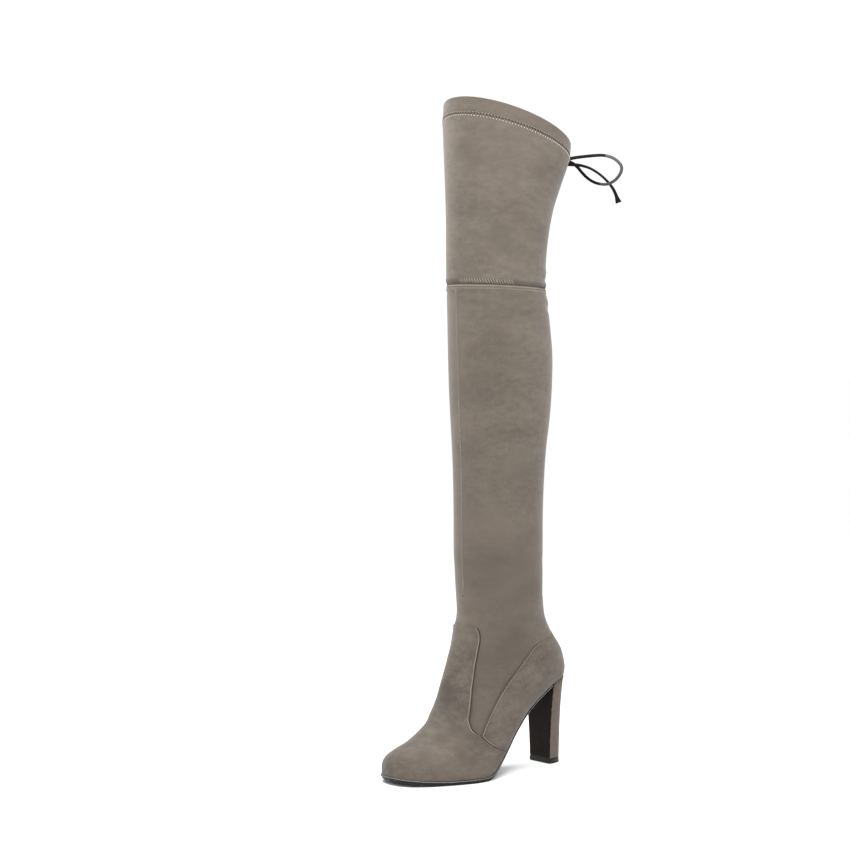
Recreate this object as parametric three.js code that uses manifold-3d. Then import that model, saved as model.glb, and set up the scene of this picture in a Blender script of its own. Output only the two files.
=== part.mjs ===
// Thigh high stretch boot on a block heel, left foot.
// Millimetres, +Z up. The toe points to -Y and the outer side of the foot is +X.
// Lengths along the foot are measured forward from the back of the heel and called "fore".
import * as THREE from "three";
import { mergeVertices } from "three/addons/utils/BufferGeometryUtils.js";
import Module from "manifold-3d";

const wasm = await Module();
wasm.setup();

// Driving dimensions
const footLength = 204; // back of the heel to the tip of the toe, along the floor
const ballWidth = 81; // across the widest part of the forefoot
const heelHeight = 85; // top of the forefoot's sole to the back edge of the heel seat
const instepRise = 50; // heel seat to the point where the instep meets the leg
const toeSpring = 3.6; // lift of the outsole under the toe tip
const toeSwing = 8; // the toe tip lies this far to the inner side
const crestShift = 4; // the ridge of the instep lies this far to the inner side
const ankleHeight = 215; // floor to the narrowest part of the leg
const ankleDepth = 93.5; // front to back
const ankleWidth = 77;
const calfDepth = 109;
const calfWidth = 91;
const kneeSeamHeight = 471; // floor to the seam under the thigh panel, at the front
const kneeSeamDrop = 4; // the seam is this much lower at the back
const collarHeight = 648; // floor to the collar's edge at the front
const collarDrop = 46; // the collar is this much lower at the back
const collarDepth = 131;
const collarWidth = 114;

const wall = 1.4; // stretch cloth bonded to its lining
const panelWall = 1.1; // vamp and counter, over the stretch cloth
const hemHeight = 17; // folded band at the collar that holds the drawstring
const hemWall = 2.8; // the fold is two layers, thickened inwards
const slitDepth = 20; // centre back slit where the drawstring comes out
const slitWidth = 5;
const soleThickness = 3.4;
const soleLip = 1.3; // thickness of the outsole's upper edge
const lipMargin = 0.9; // the upper edge stands out this far past the vamp
const treadMargin = -0.5; // the tread below it is set in
const insoleThickness = 2.4;
const lastingTuck = 4; // the upper's forms reach this far below the sole line before they are cut
const heelBreast = 22.5; // back of the heel to the heel's front face
const heelTipDepth = 20.5;
const heelTipWidth = 29;
const heelTipFore = 0.5; // the heel's back is this far forward at the floor
const heelSquareness = 0.8; // 1 is an oval back, less is squarer
const topLiftThickness = 5;
const clearance = 0.3; // between pieces that touch
const panelGap = 0.36; // between the edges of the vamp and the counter, along the foot

const laceWidth = 3.8;
const laceThickness = 2.2;
const knotWidth = 10;
const knotHeight = 9;
const knotDepth = 7;
const knotDrop = 7; // collar's edge at the back to the middle of the knot
const knotRound = 1.75; // rounding of the knot's front and back
const laceStep = 5; // length of one facet along the drawstring

// Resolution of the faceted surfaces
const ringPoints = 34;
const toeStations = [0.16, 0.1, 0.055, 0.025, 0.008, 0]; // behind the toe tip, as shares of ballWidth
const heelPoints = 14;

// Rows of a table as objects, under the names in its heading
function table(heading, rows) {
  const names = heading.split(" ");
  return rows.map((row) => Object.fromEntries(names.map((name, k) => [name, row[k]])));
}

// Sole line, the top of the outsole and of the heel, seen from the side.
// at: share of footLength. rise: share of heelHeight. spring: share of toeSpring.
// thick: share of soleThickness.
const soleRows = table("at rise spring thick", [
  [-0.06, 1.035, 0, 0.6],
  [0.0, 1.0, 0, 0.6],
  [0.067, 0.95, 0, 0.6],
  [0.134, 0.88, 0, 0.6],
  [0.215, 0.765, 0, 0.6],
  [0.297, 0.615, 0, 0.6],
  [0.368, 0.455, 0, 0.62],
  [0.44, 0.27, 0, 0.7],
  [0.517, 0.1, 0, 0.85],
  [0.574, 0.022, 0, 0.96],
  [0.622, 0, 0, 1],
  [0.72, 0, 0, 1],
  [0.82, 0, 0.1, 1],
  [0.92, 0, 0.5, 1],
  [1.0, 0, 1, 1],
  [1.06, 0, 1.4, 1],
]);

// Foot sections from the toe tip over the instep and round the heel to the ankle.
// Each is a flat slice from a point on the sole or the back to a point on the ridge of the foot.
// topAt, bottomAt: share of footLength. For the top, lift: share of heelHeight, rise: share of instepRise.
// back: height of the bottom above the heel seat as a share of instepRise, or null on the sole line.
// half: half width as a share of ballWidth. skew: fuller to the outer side. swing: share of toeSwing.
// crest: share of crestShift. widest: how far up the slice is widest.
// base, crown: squareness below and above that.
const footRows = table(
  "topAt lift rise bottomAt back half skew swing crest widest base crown",
  [
    [1, 0, 0.26, 1, null, 0.05, 0, 1, 0, 0.5, 4, 2.2],
    [0.997, 0, 0.34, 0.997, null, 0.115, 0, 0.98, 0, 0.48, 4, 2.2],
    [0.983, 0, 0.41, 0.983, null, 0.205, 0, 0.95, 0, 0.46, 5, 2.2],
    [0.957, 0, 0.47, 0.957, null, 0.285, -0.03, 0.9, 0, 0.44, 5, 2.2],
    [0.919, 0, 0.525, 0.919, null, 0.355, -0.05, 0.8, 0, 0.42, 5, 2.2],
    [0.866, 0, 0.59, 0.866, null, 0.42, -0.06, 0.68, 0.1, 0.39, 5, 2.2],
    [0.806, 0, 0.68, 0.806, null, 0.465, -0.05, 0.54, 0.3, 0.36, 5, 2.15],
    [0.748, 0.04, 0.775, 0.748, null, 0.49, -0.02, 0.4, 0.6, 0.33, 5, 2.1],
    [0.7, 0.11, 0.87, 0.69, null, 0.5, 0.02, 0.28, 0.9, 0.3, 5, 2],
    [0.68, 0.2, 0.94, 0.632, null, 0.495, 0.05, 0.2, 1, 0.28, 5, 1.95],
    [0.672, 0.31, 0.99, 0.57, null, 0.47, 0.07, 0.12, 1, 0.27, 5, 1.9],
    [0.671, 0.445, 1, 0.503, null, 0.43, 0.08, 0.05, 1, 0.29, 4.5, 1.9],
    [0.663, 0.58, 1, 0.43, null, 0.4, 0.07, 0, 0.9, 0.31, 4, 1.9],
    [0.647, 0.725, 1, 0.35, null, 0.385, 0.05, 0, 0.75, 0.36, 3.8, 1.95],
    [0.63, 0.865, 1, 0.258, null, 0.385, 0.03, 0, 0.55, 0.42, 3.6, 2],
    [0.618, 1, 1, 0.158, null, 0.4, 0.01, 0, 0.35, 0.48, 3.4, 2],
    [0.609, 1, 1.16, 0.08, null, 0.413, 0, 0, 0.25, 0.51, 3, 2],
    [0.603, 1, 1.26, 0.03, null, 0.42, 0, 0, 0.2, 0.53, 2.7, 2],
    [0.6, 1, 1.33, 0.006, -0.03, 0.425, 0, 0, 0.15, 0.54, 2.5, 2],
    [0.599, 1, 1.42, -0.002, 0.13, 0.43, 0, 0, 0.1, 0.54, 2.4, 2],
    [0.598, 1, 1.55, 0.019, 0.45, 0.44, 0, 0, 0, 0.53, 2.25, 2],
    [0.597, 1, 1.72, 0.077, 0.77, 0.452, 0, 0, 0, 0.51, 2.1, 2],
    [0.596, 1, 1.93, 0.125, 1.12, 0.462, 0, 0, 0, 0.505, 2, 2],
    [0.597, 1, 2.18, 0.145, 1.56, 0.47, 0, 0, 0, 0.5, 2, 2],
  ],
);

// Lower shaft. up: share of the way from the ankle to the knee seam. middle: share of footLength.
// full: 0 at the ankle's size, 1 at the calf's.
const shaftRows = table("up middle full", [
  [0, 0.374, 0],
  [0.14, 0.374, 0.02],
  [0.275, 0.372, 0.14],
  [0.39, 0.369, 0.35],
  [0.51, 0.363, 0.7],
  [0.635, 0.361, 0.93],
  [0.757, 0.363, 1],
  [0.88, 0.374, 0.85],
  [1, 0.389, 0.65],
]);

// Thigh panel below its hem. up: share of the way from the knee seam to the hem line.
// flare: 0 at the knee seam's size, 1 at the collar's.
const thighRows = table("up middle flare", [
  [0, 0.389, 0],
  [0.2, 0.39, 0.02],
  [0.42, 0.382, 0.12],
  [0.63, 0.37, 0.33],
  [0.83, 0.349, 0.65],
  [1, 0.329, 0.94],
]);

// Hem band. down: share of hemHeight under the edge.
// roll: how far the outside turns in, as a share of hemWall.
const hemRows = table("down middle flare roll", [
  [1, 0.329, 0.94, 0],
  [0.2, 0.32, 1, 0],
  [0.06, 0.319, 1, 0.14],
  [0, 0.319, 1, 0.42],
]);

// Edges of the vamp and the counter seen from the side.
// at: share of footLength. up: height over the forefoot's sole as a share of heelHeight plus instepRise.
const vampEdge = table("at up", [
  [0.7, 1.07],
  [0.607, 1.065],
  [0.584, 1.045],
  [0.573, 1.01],
  [0.572, 0.95],
  [0.584, 0.87],
  [0.607, 0.734],
  [0.633, 0.59],
  [0.655, 0.462],
  [0.667, 0.39],
  [0.666, 0.33],
  [0.638, 0.298],
  [0.594, 0.236],
  [0.52, 0.18],
  [0.42, 0.12],
]);
const counterEdge = table("at up", [
  [-0.05, 0.985],
  [0.1, 0.965],
  [0.22, 0.92],
  [0.292, 0.875],
  [0.343, 0.801],
  [0.401, 0.709],
  [0.485, 0.578],
  [0.561, 0.435],
  [0.638, 0.28],
  [0.7, 0.15],
]);

// Heel block. up: share of the way from the top lift to the seat.
// spread: 0 is the tip's size, 1 the seat's.
const heelRows = table("up spread", [
  [0, 0],
  [0.3, 0.13],
  [0.6, 0.36],
  [0.82, 0.68],
  [0.94, 0.9],
  [1.08, 1.06],
]);

// The drawstring's loops and ends, in millimetres from the middle of the knot,
// each in an upright plane that is turned from straight back.
const loopTurn = 62; // degrees from straight back
const endTurns = { outer: 38, inner: 86 }; // one end falls behind, the other beside the boot
const loopRoute = table("out up", [
  [5.6, 2.7],
  [10, 3.1],
  [18.4, 3.9],
  [35.5, 4.5],
  [46.5, 4.3],
  [56, 1.3],
  [63, -4.7],
  [64.5, -10],
  [62, -15.8],
  [57, -20.8],
  [49, -24],
  [39, -22.6],
  [31, -18.4],
  [24.5, -12.4],
  [18, -5],
  [11.5, -1.2],
  [5.6, -0.3],
]);
const endRoute = table("out up", [
  [4.8, -3.4],
  [11.5, -3.8],
  [20, -3.6],
  [30, -6.2],
  [39, -11.4],
  [46, -17.2],
  [52, -24],
  [56, -31],
  [59.5, -40.5],
]);

// A place from its length along the foot, its offset to the outer side and its height
const place = (fore, across, height) => new THREE.Vector3(across, -fore, height);
const mix = THREE.MathUtils.lerp;

// Smooth line through points seen from the side, x forward and y up
const smoothLine = (points, steps) => new THREE.SplineCurve(points).getPoints(points.length * steps);

// Height of a line at a length along the foot
function heightAt(line, fore) {
  let k = 0;
  while (k < line.length - 2 && line[k + 1].x < fore) k++;
  const [a, b] = [line[k], line[k + 1]];
  return a.y + ((b.y - a.y) * (fore - a.x)) / (b.x - a.x);
}
const solePoint = (row, rise) => new THREE.Vector2(row.at * footLength, soleThickness + rise);
const soleTopLine = smoothLine(
  soleRows.map((row) => solePoint(row, row.rise * heelHeight + row.spring * toeSpring)),
  2,
).map((point) => point.setY(Math.max(point.y, soleThickness)));
const soleThickLine = soleRows.map((row) => solePoint(row, (row.thick - 1) * soleThickness));
const soleTop = (fore) => heightAt(soleTopLine, fore);
const soleBottom = (fore) => soleTop(fore) - heightAt(soleThickLine, fore);

// Upper surface: rings of points from the toe to the collar, each a closed curve in its own slice
function sliceRing({ top, bottom, outer, inner, swing, crest, widest, base, crown }) {
  const ring = [];
  for (let k = 0; k < ringPoints; k++) {
    const angle = (2 * Math.PI * k) / ringPoints;
    const down = Math.cos(angle);
    const power = 2 / (down > 0 ? base : crown);
    const reach = down > 0 ? -widest : 1 - widest;
    const along = widest + reach * Math.abs(down) ** power;
    const side = Math.sin(angle);
    const half = side > 0 ? outer : -inner;
    const across = half * Math.abs(side) ** power - swing - crest * along;
    ring.push(place(mix(bottom.x, top.x, along), across, mix(bottom.y, top.y, along)));
  }
  return ring;
}

const seatHeight = soleThickness + heelHeight;
function footSlice(row) {
  const bottomFore = row.bottomAt * footLength;
  const bottomHeight =
    row.back === null ? soleTop(bottomFore) - lastingTuck : seatHeight + row.back * instepRise;
  const half = row.half * ballWidth;
  return {
    top: new THREE.Vector2(
      row.topAt * footLength,
      soleThickness + row.lift * heelHeight + row.rise * instepRise,
    ),
    bottom: new THREE.Vector2(bottomFore, bottomHeight),
    outer: half * (1 + row.skew),
    inner: half * (1 - row.skew),
    swing: row.swing * toeSwing,
    crest: row.crest * crestShift,
    widest: row.widest,
    base: row.base,
    crown: row.crown,
  };
}

// A slice of the leg: an oval whose front and back may stand at different heights
const legSlice = (middle, depth, width, front, back) => ({
  top: new THREE.Vector2(middle + depth / 2, front),
  bottom: new THREE.Vector2(middle - depth / 2, back),
  outer: width / 2,
  inner: width / 2,
  swing: 0,
  crest: 0,
  widest: 0.5,
  base: 2,
  crown: 2,
});
const kneeBack = kneeSeamHeight - kneeSeamDrop;
const shaftSlice = (row) =>
  legSlice(
    row.middle * footLength,
    mix(ankleDepth, calfDepth, row.full),
    mix(ankleWidth, calfWidth, row.full),
    mix(ankleHeight, kneeSeamHeight, row.up),
    mix(ankleHeight, kneeBack, row.up),
  );
const kneeFull = shaftRows[shaftRows.length - 1].full;
const kneeDepth = mix(ankleDepth, calfDepth, kneeFull);
const kneeWidth = mix(ankleWidth, calfWidth, kneeFull);
const panelSlice = (row, front, back) =>
  legSlice(
    row.middle * footLength,
    mix(kneeDepth, collarDepth, row.flare),
    mix(kneeWidth, collarWidth, row.flare),
    front,
    back,
  );
const collarBack = collarHeight - collarDrop;
const thighSlice = (row) =>
  panelSlice(
    row,
    mix(kneeSeamHeight + clearance, collarHeight - hemHeight, row.up),
    mix(kneeBack + clearance, collarBack - hemHeight, row.up),
  );
const hemSlice = (row) =>
  panelSlice(row, collarHeight - row.down * hemHeight, collarBack - row.down * hemHeight);

// Rings moved out along the surface by one distance, or by one for each ring
function moved(rings, distances) {
  return rings.map((ring, i) => {
    const before = rings[Math.max(i - 1, 0)];
    const after = rings[Math.min(i + 1, rings.length - 1)];
    const distance = Array.isArray(distances) ? distances[i] : distances;
    return ring.map((point, k) => {
      const around = ring[(k + 1) % ringPoints].clone().sub(ring[(k + ringPoints - 1) % ringPoints]);
      const along = after[k].clone().sub(before[k]);
      return point.clone().addScaledVector(along.cross(around).normalize(), distance);
    });
  });
}

// Faces of lofts: strips between rings, ladders across them and bands between two of them
class Faces {
  constructor() {
    this.corners = [];
  }
  quad(a, b, c, d) {
    this.corners.push(a, b, c, a, c, d);
  }
  sides(rings, inward = false) {
    for (let i = 0; i < rings.length - 1; i++) this.band(rings[i], rings[i + 1], inward);
  }
  band(from, to, flipped = false) {
    const count = from.length;
    for (let k = 0; k < count; k++) {
      const next = (k + 1) % count;
      if (flipped) this.quad(from[k], from[next], to[next], to[k]);
      else this.quad(from[k], to[k], to[next], from[next]);
    }
  }
  // Across a ring that starts on the boot's middle, or at the end of one of two sides
  cap(ring, flipped = false, startsOnMiddle = true) {
    const count = ring.length;
    const last = startsOnMiddle ? count : count - 1;
    for (let k = 0; k < last / 2; k++) {
      const corners = [ring[k], ring[k + 1], ring[last - k - 1], ring[(last - k) % count]];
      if (flipped) corners.reverse();
      this.quad(...corners);
    }
  }
  geometry() {
    return new THREE.BufferGeometry().setFromPoints(this.corners);
  }
}

// Closed geometry to solid and back
function toSolid(source) {
  const bare = source.index ? source.clone() : source;
  bare.deleteAttribute("normal");
  bare.deleteAttribute("uv");
  const merged = mergeVertices(bare, 1e-4);
  const corners = merged.index.array;
  const kept = [];
  for (let k = 0; k < corners.length; k += 3) {
    const [a, b, c] = [corners[k], corners[k + 1], corners[k + 2]];
    if (a !== b && b !== c && c !== a) kept.push(a, b, c);
  }
  const mesh = new wasm.Mesh({
    numProp: 3,
    vertProperties: Float32Array.from(merged.attributes.position.array),
    triVerts: Uint32Array.from(kept),
  });
  return new wasm.Manifold(mesh);
}
function toGeometry(solid) {
  const mesh = solid.getMesh();
  const geometry = new THREE.BufferGeometry();
  geometry.setAttribute("position", new THREE.BufferAttribute(mesh.vertProperties, 3));
  geometry.setIndex(new THREE.BufferAttribute(mesh.triVerts, 1));
  return geometry.toNonIndexed();
}

// Block over an outline seen from the side, wider than the boot
const sideToFrame = new THREE.Matrix4().makeBasis(
  new THREE.Vector3(0, -1, 0),
  new THREE.Vector3(0, 0, 1),
  new THREE.Vector3(-1, 0, 0),
);
function sideBlock(outline) {
  const reach = 2 * ballWidth;
  const bends = outline.filter((point, k) => {
    const before = outline[(k + outline.length - 1) % outline.length];
    const after = outline[(k + 1) % outline.length];
    return Math.abs(point.clone().sub(before).cross(after.clone().sub(point))) > 1e-6;
  });
  const geometry = new THREE.ExtrudeGeometry(new THREE.Shape(bends), {
    depth: 2 * reach,
    bevelEnabled: false,
  });
  geometry.translate(0, 0, -reach);
  return toSolid(geometry.applyMatrix4(sideToFrame));
}

// Everything under a line along the foot that is lifted by a distance
function underLine(line, lift) {
  const shifted = line.map((point) => new THREE.Vector2(point.x, point.y + lift));
  const floor = -2 * heelHeight;
  const underFirst = new THREE.Vector2(shifted[0].x, floor);
  const underLast = new THREE.Vector2(shifted[shifted.length - 1].x, floor);
  return sideBlock([underLast, ...shifted.reverse(), underFirst]);
}

// Closed form of the foot and lower shaft, moved out by a distance
const footRings = footRows.map((row) => sliceRing(footSlice(row)));
const lowerRings = [...footRings, ...shaftRows.map((row) => sliceRing(shaftSlice(row)))];
function closedForm(rings) {
  const faces = new Faces();
  faces.cap(rings[0]);
  faces.sides(rings);
  faces.cap(rings[rings.length - 1], true);
  return toSolid(faces.geometry());
}
const belowSole = underLine(soleTopLine, clearance);

// Upper: foot and lower shaft in one stretch wall, open above and under the foot
function makeUpper() {
  const faces = new Faces();
  const inside = moved(lowerRings, -wall);
  faces.cap(lowerRings[0]);
  faces.cap(inside[0], true);
  faces.sides(lowerRings);
  faces.sides(inside, true);
  faces.band(lowerRings[lowerRings.length - 1], inside[inside.length - 1]);
  return toSolid(faces.geometry()).subtract(belowSole);
}

// Thigh panel: a tube from the knee seam to the collar, with a thick folded hem and a slit at the back
const hemRings = hemRows.map((row) => sliceRing(hemSlice(row)));
function makeThighPanel() {
  const body = thighRows.map((row) => sliceRing(thighSlice(row)));
  const outside = [...body.slice(0, -1), ...moved(hemRings, hemRows.map((row) => -row.roll * hemWall))];
  const inside = [...moved(body, -wall), ...moved(hemRings, -hemWall)];
  const faces = new Faces();
  faces.sides(outside);
  faces.sides(inside, true);
  faces.band(outside[outside.length - 1], inside[inside.length - 1]);
  faces.band(outside[0], inside[0], true);
  const slit = new THREE.BoxGeometry(slitWidth, collarDepth / 4, 2 * slitDepth);
  const backFore = hemSlice(hemRows[hemRows.length - 1]).bottom.x;
  slit.translate(0, -backFore, collarBack);
  return toSolid(faces.geometry()).subtract(toSolid(slit));
}

// Overlays: a layer just outside the stretch wall, kept where the side view says
const layerRings = moved(footRings, clearance);
const panelRings = moved(footRings, clearance + panelWall);
const footHeight = heelHeight + instepRise;
const sidePoints = (rows) =>
  rows.map((row) => new THREE.Vector2(row.at * footLength, soleThickness + row.up * footHeight));
const vampLine = smoothLine(sidePoints(vampEdge), 2);
const counterLine = smoothLine(sidePoints(counterEdge), 2);
const panelLayer = closedForm(panelRings).subtract(closedForm(layerRings)).subtract(belowSole);

// An edge line closed into an area that reaches past the toe or the heel and under the floor
function areaPast(line, farFore) {
  const [first, last] = [line[0], line[line.length - 1]];
  const underLast = new THREE.Vector2(last.x, -footHeight);
  const underFar = new THREE.Vector2(farFore, -footHeight);
  const far = new THREE.Vector2(farFore, first.y);
  return sideBlock([...line, underLast, underFar, far]);
}
const pastEnds = footLength / 2;
const vampArea = areaPast(vampLine, footLength + pastEnds);
const counterArea = areaPast(counterLine, -pastEnds);
const widerVampArea = vampArea.add(vampArea.translate([0, panelGap, panelGap / 2]));
const makeVamp = () => panelLayer.intersect(vampArea);
const makeCounter = () => panelLayer.intersect(counterArea).subtract(widerVampArea);

// Outline of the foot where it meets the sole, from the toe to the heel, as fore and offset
function featherSide(rings, sign) {
  const over = (point) => point.z - soleTop(-point.y);
  const crossing = (a, b) => a.clone().lerp(b, over(a) / (over(a) - over(b)));
  const points = [];
  const tip = rings[0].map((point) => point.x);
  points.push(new THREE.Vector2(-rings[0][0].y, (Math.max(...tip) + Math.min(...tip)) / 2));
  for (const [i, ring] of rings.entries()) {
    if (over(ring[0]) > 0) {
      const heel = crossing(rings[i - 1][0], ring[0]);
      points.push(new THREE.Vector2(-heel.y, heel.x));
      break;
    }
    let k = 0;
    const index = (n) => (sign > 0 ? n : ringPoints - n) % ringPoints;
    while (over(ring[index(k + 1)]) < 0) k++;
    const edge = crossing(ring[index(k)], ring[index(k + 1)]);
    points.push(new THREE.Vector2(-edge.y, edge.x));
  }
  return points;
}

// The same outline moved out by a margin, read as an offset at any length along the foot
function featherOffset(sign, margin) {
  const side = featherSide(panelRings, sign);
  const out = side.map((point, k) => {
    const along = side[Math.min(k + 1, side.length - 1)].clone().sub(side[Math.max(k - 1, 0)]).normalize();
    const normal = new THREE.Vector2(-along.y * -sign, along.x * -sign);
    if (k === 0) normal.set(1, 0);
    if (k === side.length - 1) normal.set(-1, 0);
    return point.clone().addScaledVector(normal, margin);
  });
  return out.reverse();
}

// Where the outsole's outline is read: at each bend of the sole line, and closer together round the toe
const soleStart = heelBreast + clearance;
const toeStart = footLength - toeStations[0] * ballWidth - 2 * lipMargin;
const soleBends = soleTopLine.map((point) => point.x).filter((x) => x > soleStart + 1 && x < toeStart);
const soleStations = [soleStart, ...soleBends];

// Outsole: a thin plate on the sole line, with a lip round its upper edge and the tread set in under it
function makeOutsole() {
  const ringAt = (margin, heightOf) => {
    const outer = featherOffset(1, margin);
    const inner = featherOffset(-1, margin);
    const tip = outer[outer.length - 1];
    const inFront = toeStations.map((share) => tip.x - share * ballWidth);
    const stations = [...soleStations, ...inFront];
    const point = (side) => (fore) => place(fore, heightAt(side, fore), heightOf(fore));
    return [...stations.map(point(outer)), ...stations.map(point(inner)).reverse().slice(1)];
  };
  const lipBottom = (fore) => mix(soleTop(fore), soleBottom(fore), soleLip / soleThickness);
  const levels = [
    ringAt(lipMargin, soleTop),
    ringAt(lipMargin, lipBottom),
    ringAt(treadMargin, lipBottom),
    ringAt(treadMargin, soleBottom),
  ];
  const faces = new Faces();
  faces.cap(levels[0], true, false);
  faces.sides(levels, true);
  faces.cap(levels[levels.length - 1], false, false);
  return toSolid(faces.geometry());
}

// Insole: fills the foot from wall to wall, on the sole line
function makeInsole() {
  const room = closedForm(moved(footRings, -wall - clearance));
  const slab = underLine(soleTopLine, clearance + insoleThickness).subtract(belowSole);
  return room.intersect(slab);
}

// Heel: D-shaped rings, flat in front, between the tip and the outline of the seat
function heelTipRing(height) {
  const ring = [];
  for (let k = 0; k <= heelPoints; k++) {
    const angle = (Math.PI * k) / heelPoints;
    const fore = heelTipFore + heelTipDepth * (1 - Math.sin(angle) ** heelSquareness);
    const side = Math.cos(angle);
    const half = (heelTipWidth / 2) * Math.abs(side) ** heelSquareness;
    ring.push(place(fore, side > 0 ? half : -half, height));
  }
  return ring;
}
function heelSeatRing() {
  const outer = featherOffset(1, 0);
  const inner = featherOffset(-1, 0);
  const back = outer[0].x;
  const ring = [];
  for (let k = 0; k <= heelPoints; k++) {
    const angle = (Math.PI * k) / heelPoints;
    const fore = mix(heelBreast, back, Math.sin(angle) ** heelSquareness);
    ring.push(place(fore, heightAt(k < heelPoints / 2 ? outer : inner, fore), 0));
  }
  return ring;
}
function makeHeelBlock() {
  const foot = topLiftThickness + clearance;
  const tip = heelTipRing(0);
  const seat = heelSeatRing();
  const rings = heelRows.map((row) =>
    tip.map((point, k) => {
      const level = mix(foot, seatHeight, row.up);
      return point.clone().lerp(seat[k], row.spread).setZ(level);
    }),
  );
  const faces = new Faces();
  faces.cap(rings[0], true, false);
  faces.sides(rings, true);
  faces.cap(rings[rings.length - 1], false, false);
  return toSolid(faces.geometry()).intersect(underLine(soleTopLine, 0));
}
function makeTopLift() {
  const faces = new Faces();
  const rings = [heelTipRing(0), heelTipRing(topLiftThickness)];
  faces.cap(rings[0], true, false);
  faces.sides(rings, true);
  faces.cap(rings[1], false, false);
  return toSolid(faces.geometry());
}

// Drawstring
const collarRear = hemSlice(hemRows[1]).bottom.x;
const knotMiddle = place(collarRear - clearance - knotDepth / 2, 0, collarBack - knotDrop);
function makeKnot() {
  const shape = new THREE.Shape();
  const halfWidth = knotWidth / 2 - knotRound;
  const halfHeight = knotHeight / 2 - knotRound;
  shape.absellipse(0, 0, halfWidth, halfHeight, 0, 2 * Math.PI);
  const geometry = new THREE.ExtrudeGeometry(shape, {
    depth: knotDepth - 2 * knotRound,
    bevelThickness: knotRound,
    bevelSize: knotRound,
    bevelSegments: 2,
    curveSegments: 6,
  });
  geometry.translate(0, 0, knotRound - knotDepth / 2);
  geometry.rotateX(Math.PI / 2);
  geometry.translate(...knotMiddle);
  return toSolid(geometry);
}
function makeLace(route, turn) {
  const angle = THREE.MathUtils.degToRad(turn);
  const points = route.map(
    ({ out, up }) =>
      new THREE.Vector3(Math.sin(angle) * out, Math.cos(angle) * out, up).add(knotMiddle),
  );
  const path = new THREE.CatmullRomCurve3(points, false, "centripetal");
  const shape = new THREE.Shape();
  shape.absellipse(0, 0, laceThickness / 2, laceWidth / 2, 0, 2 * Math.PI);
  const steps = Math.round(path.getLength() / laceStep);
  return toSolid(
    new THREE.ExtrudeGeometry(shape, { extrudePath: path, steps, curveSegments: 4, bevelEnabled: false }),
  );
}

// Finishes
const finishes = {
  suede: { color: 0x8c8377, roughness: 0.95 },
  stretch: { color: 0x8a8175, roughness: 0.95 },
  sole: { color: 0x141312, roughness: 0.45 },
  lining: { color: 0x9b9082, roughness: 0.9 },
  lace: { color: 0x121110, roughness: 0.85 },
};
const material = (name) => new THREE.MeshStandardMaterial({ ...finishes[name], metalness: 0 });

const boot = new THREE.Group();
function addPiece(name, solid, finish) {
  const mesh = new THREE.Mesh(toGeometry(solid), material(finish));
  mesh.name = name;
  boot.add(mesh);
}
addPiece("upper", makeUpper(), "stretch");
addPiece("thigh_panel", makeThighPanel(), "stretch");
addPiece("vamp", makeVamp(), "suede");
addPiece("counter", makeCounter(), "suede");
addPiece("insole", makeInsole(), "lining");
addPiece("outsole", makeOutsole(), "sole");
addPiece("heel_block", makeHeelBlock(), "suede");
addPiece("top_lift", makeTopLift(), "sole");

// The origin is under the middle of the boot, on the floor
const bounds = new THREE.Box3().setFromObject(boot);
const middle = bounds.getCenter(new THREE.Vector3());
boot.position.set(-middle.x, -middle.y, -bounds.min.z);

addPiece("drawstring_knot", makeKnot(), "lace");
for (const [side, sign] of [["outer", 1], ["inner", -1]]) {
  addPiece(`drawstring_loop_${side}`, makeLace(loopRoute, sign * loopTurn), "lace");
  addPiece(`drawstring_end_${side}`, makeLace(endRoute, sign * endTurns[side]), "lace");
}

export default boot;
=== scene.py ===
# %% [markdown]
# # A thigh high stretch boot in taupe suede
#
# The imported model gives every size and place. This script dresses it: stretch cloth, suede
# overlays, seams, a rolled collar with a drawstring, a thin sole and a covered block heel.
# Everything is in metres. The toe points to -Y, the outer side of the foot is +X, and Z is up.

# %% Frame
import math

import bmesh
import bpy
import numpy as np
from mathutils import Matrix, Vector
from mathutils.bvhtree import BVHTree


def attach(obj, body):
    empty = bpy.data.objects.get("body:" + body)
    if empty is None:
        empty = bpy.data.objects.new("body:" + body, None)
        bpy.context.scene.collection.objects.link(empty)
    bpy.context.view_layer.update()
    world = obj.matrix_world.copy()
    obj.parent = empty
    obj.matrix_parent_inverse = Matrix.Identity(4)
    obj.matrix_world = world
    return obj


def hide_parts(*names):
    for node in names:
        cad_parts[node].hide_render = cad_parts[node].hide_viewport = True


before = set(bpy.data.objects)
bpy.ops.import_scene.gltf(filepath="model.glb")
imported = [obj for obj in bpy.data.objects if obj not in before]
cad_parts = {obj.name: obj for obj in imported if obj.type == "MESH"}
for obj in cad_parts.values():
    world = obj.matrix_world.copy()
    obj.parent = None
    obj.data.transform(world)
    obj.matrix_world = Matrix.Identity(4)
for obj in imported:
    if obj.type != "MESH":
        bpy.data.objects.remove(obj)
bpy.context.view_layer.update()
mm = 0.001

# %% [markdown]
# ## Camera
#
# A product photo like this is taken from some way off with a long lens, a little above the
# middle of the boot, so upright lines stay nearly parallel. The camera stands 50 degrees round from
# the toe towards the outer side, and looks down by less than two degrees.

# %% Camera
azimuth = math.radians(50)
pitch = math.radians(-1.765)
leg_distance = 2.0
eye_height = 0.397
leg_middle = Vector((0, 0.0274, 0))
side_shift = 0.0727  # the leg stands this far to the right of the picture's middle

away = Vector((math.sin(azimuth), -math.cos(azimuth), 0))
rightwards = Vector((math.cos(azimuth), math.sin(azimuth), 0))
camera_data = bpy.data.cameras.new("camera")
camera_data.lens = 87.33
camera_data.sensor_width = 36
camera = bpy.data.objects.new("camera", camera_data)
camera.location = leg_middle + away * leg_distance - rightwards * side_shift
camera.location.z = eye_height
camera.rotation_euler = (math.radians(90) + pitch, 0, azimuth)
bpy.context.collection.objects.link(camera)
bpy.context.scene.camera = camera
print("camera at", [round(x, 3) for x in camera.location])

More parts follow.
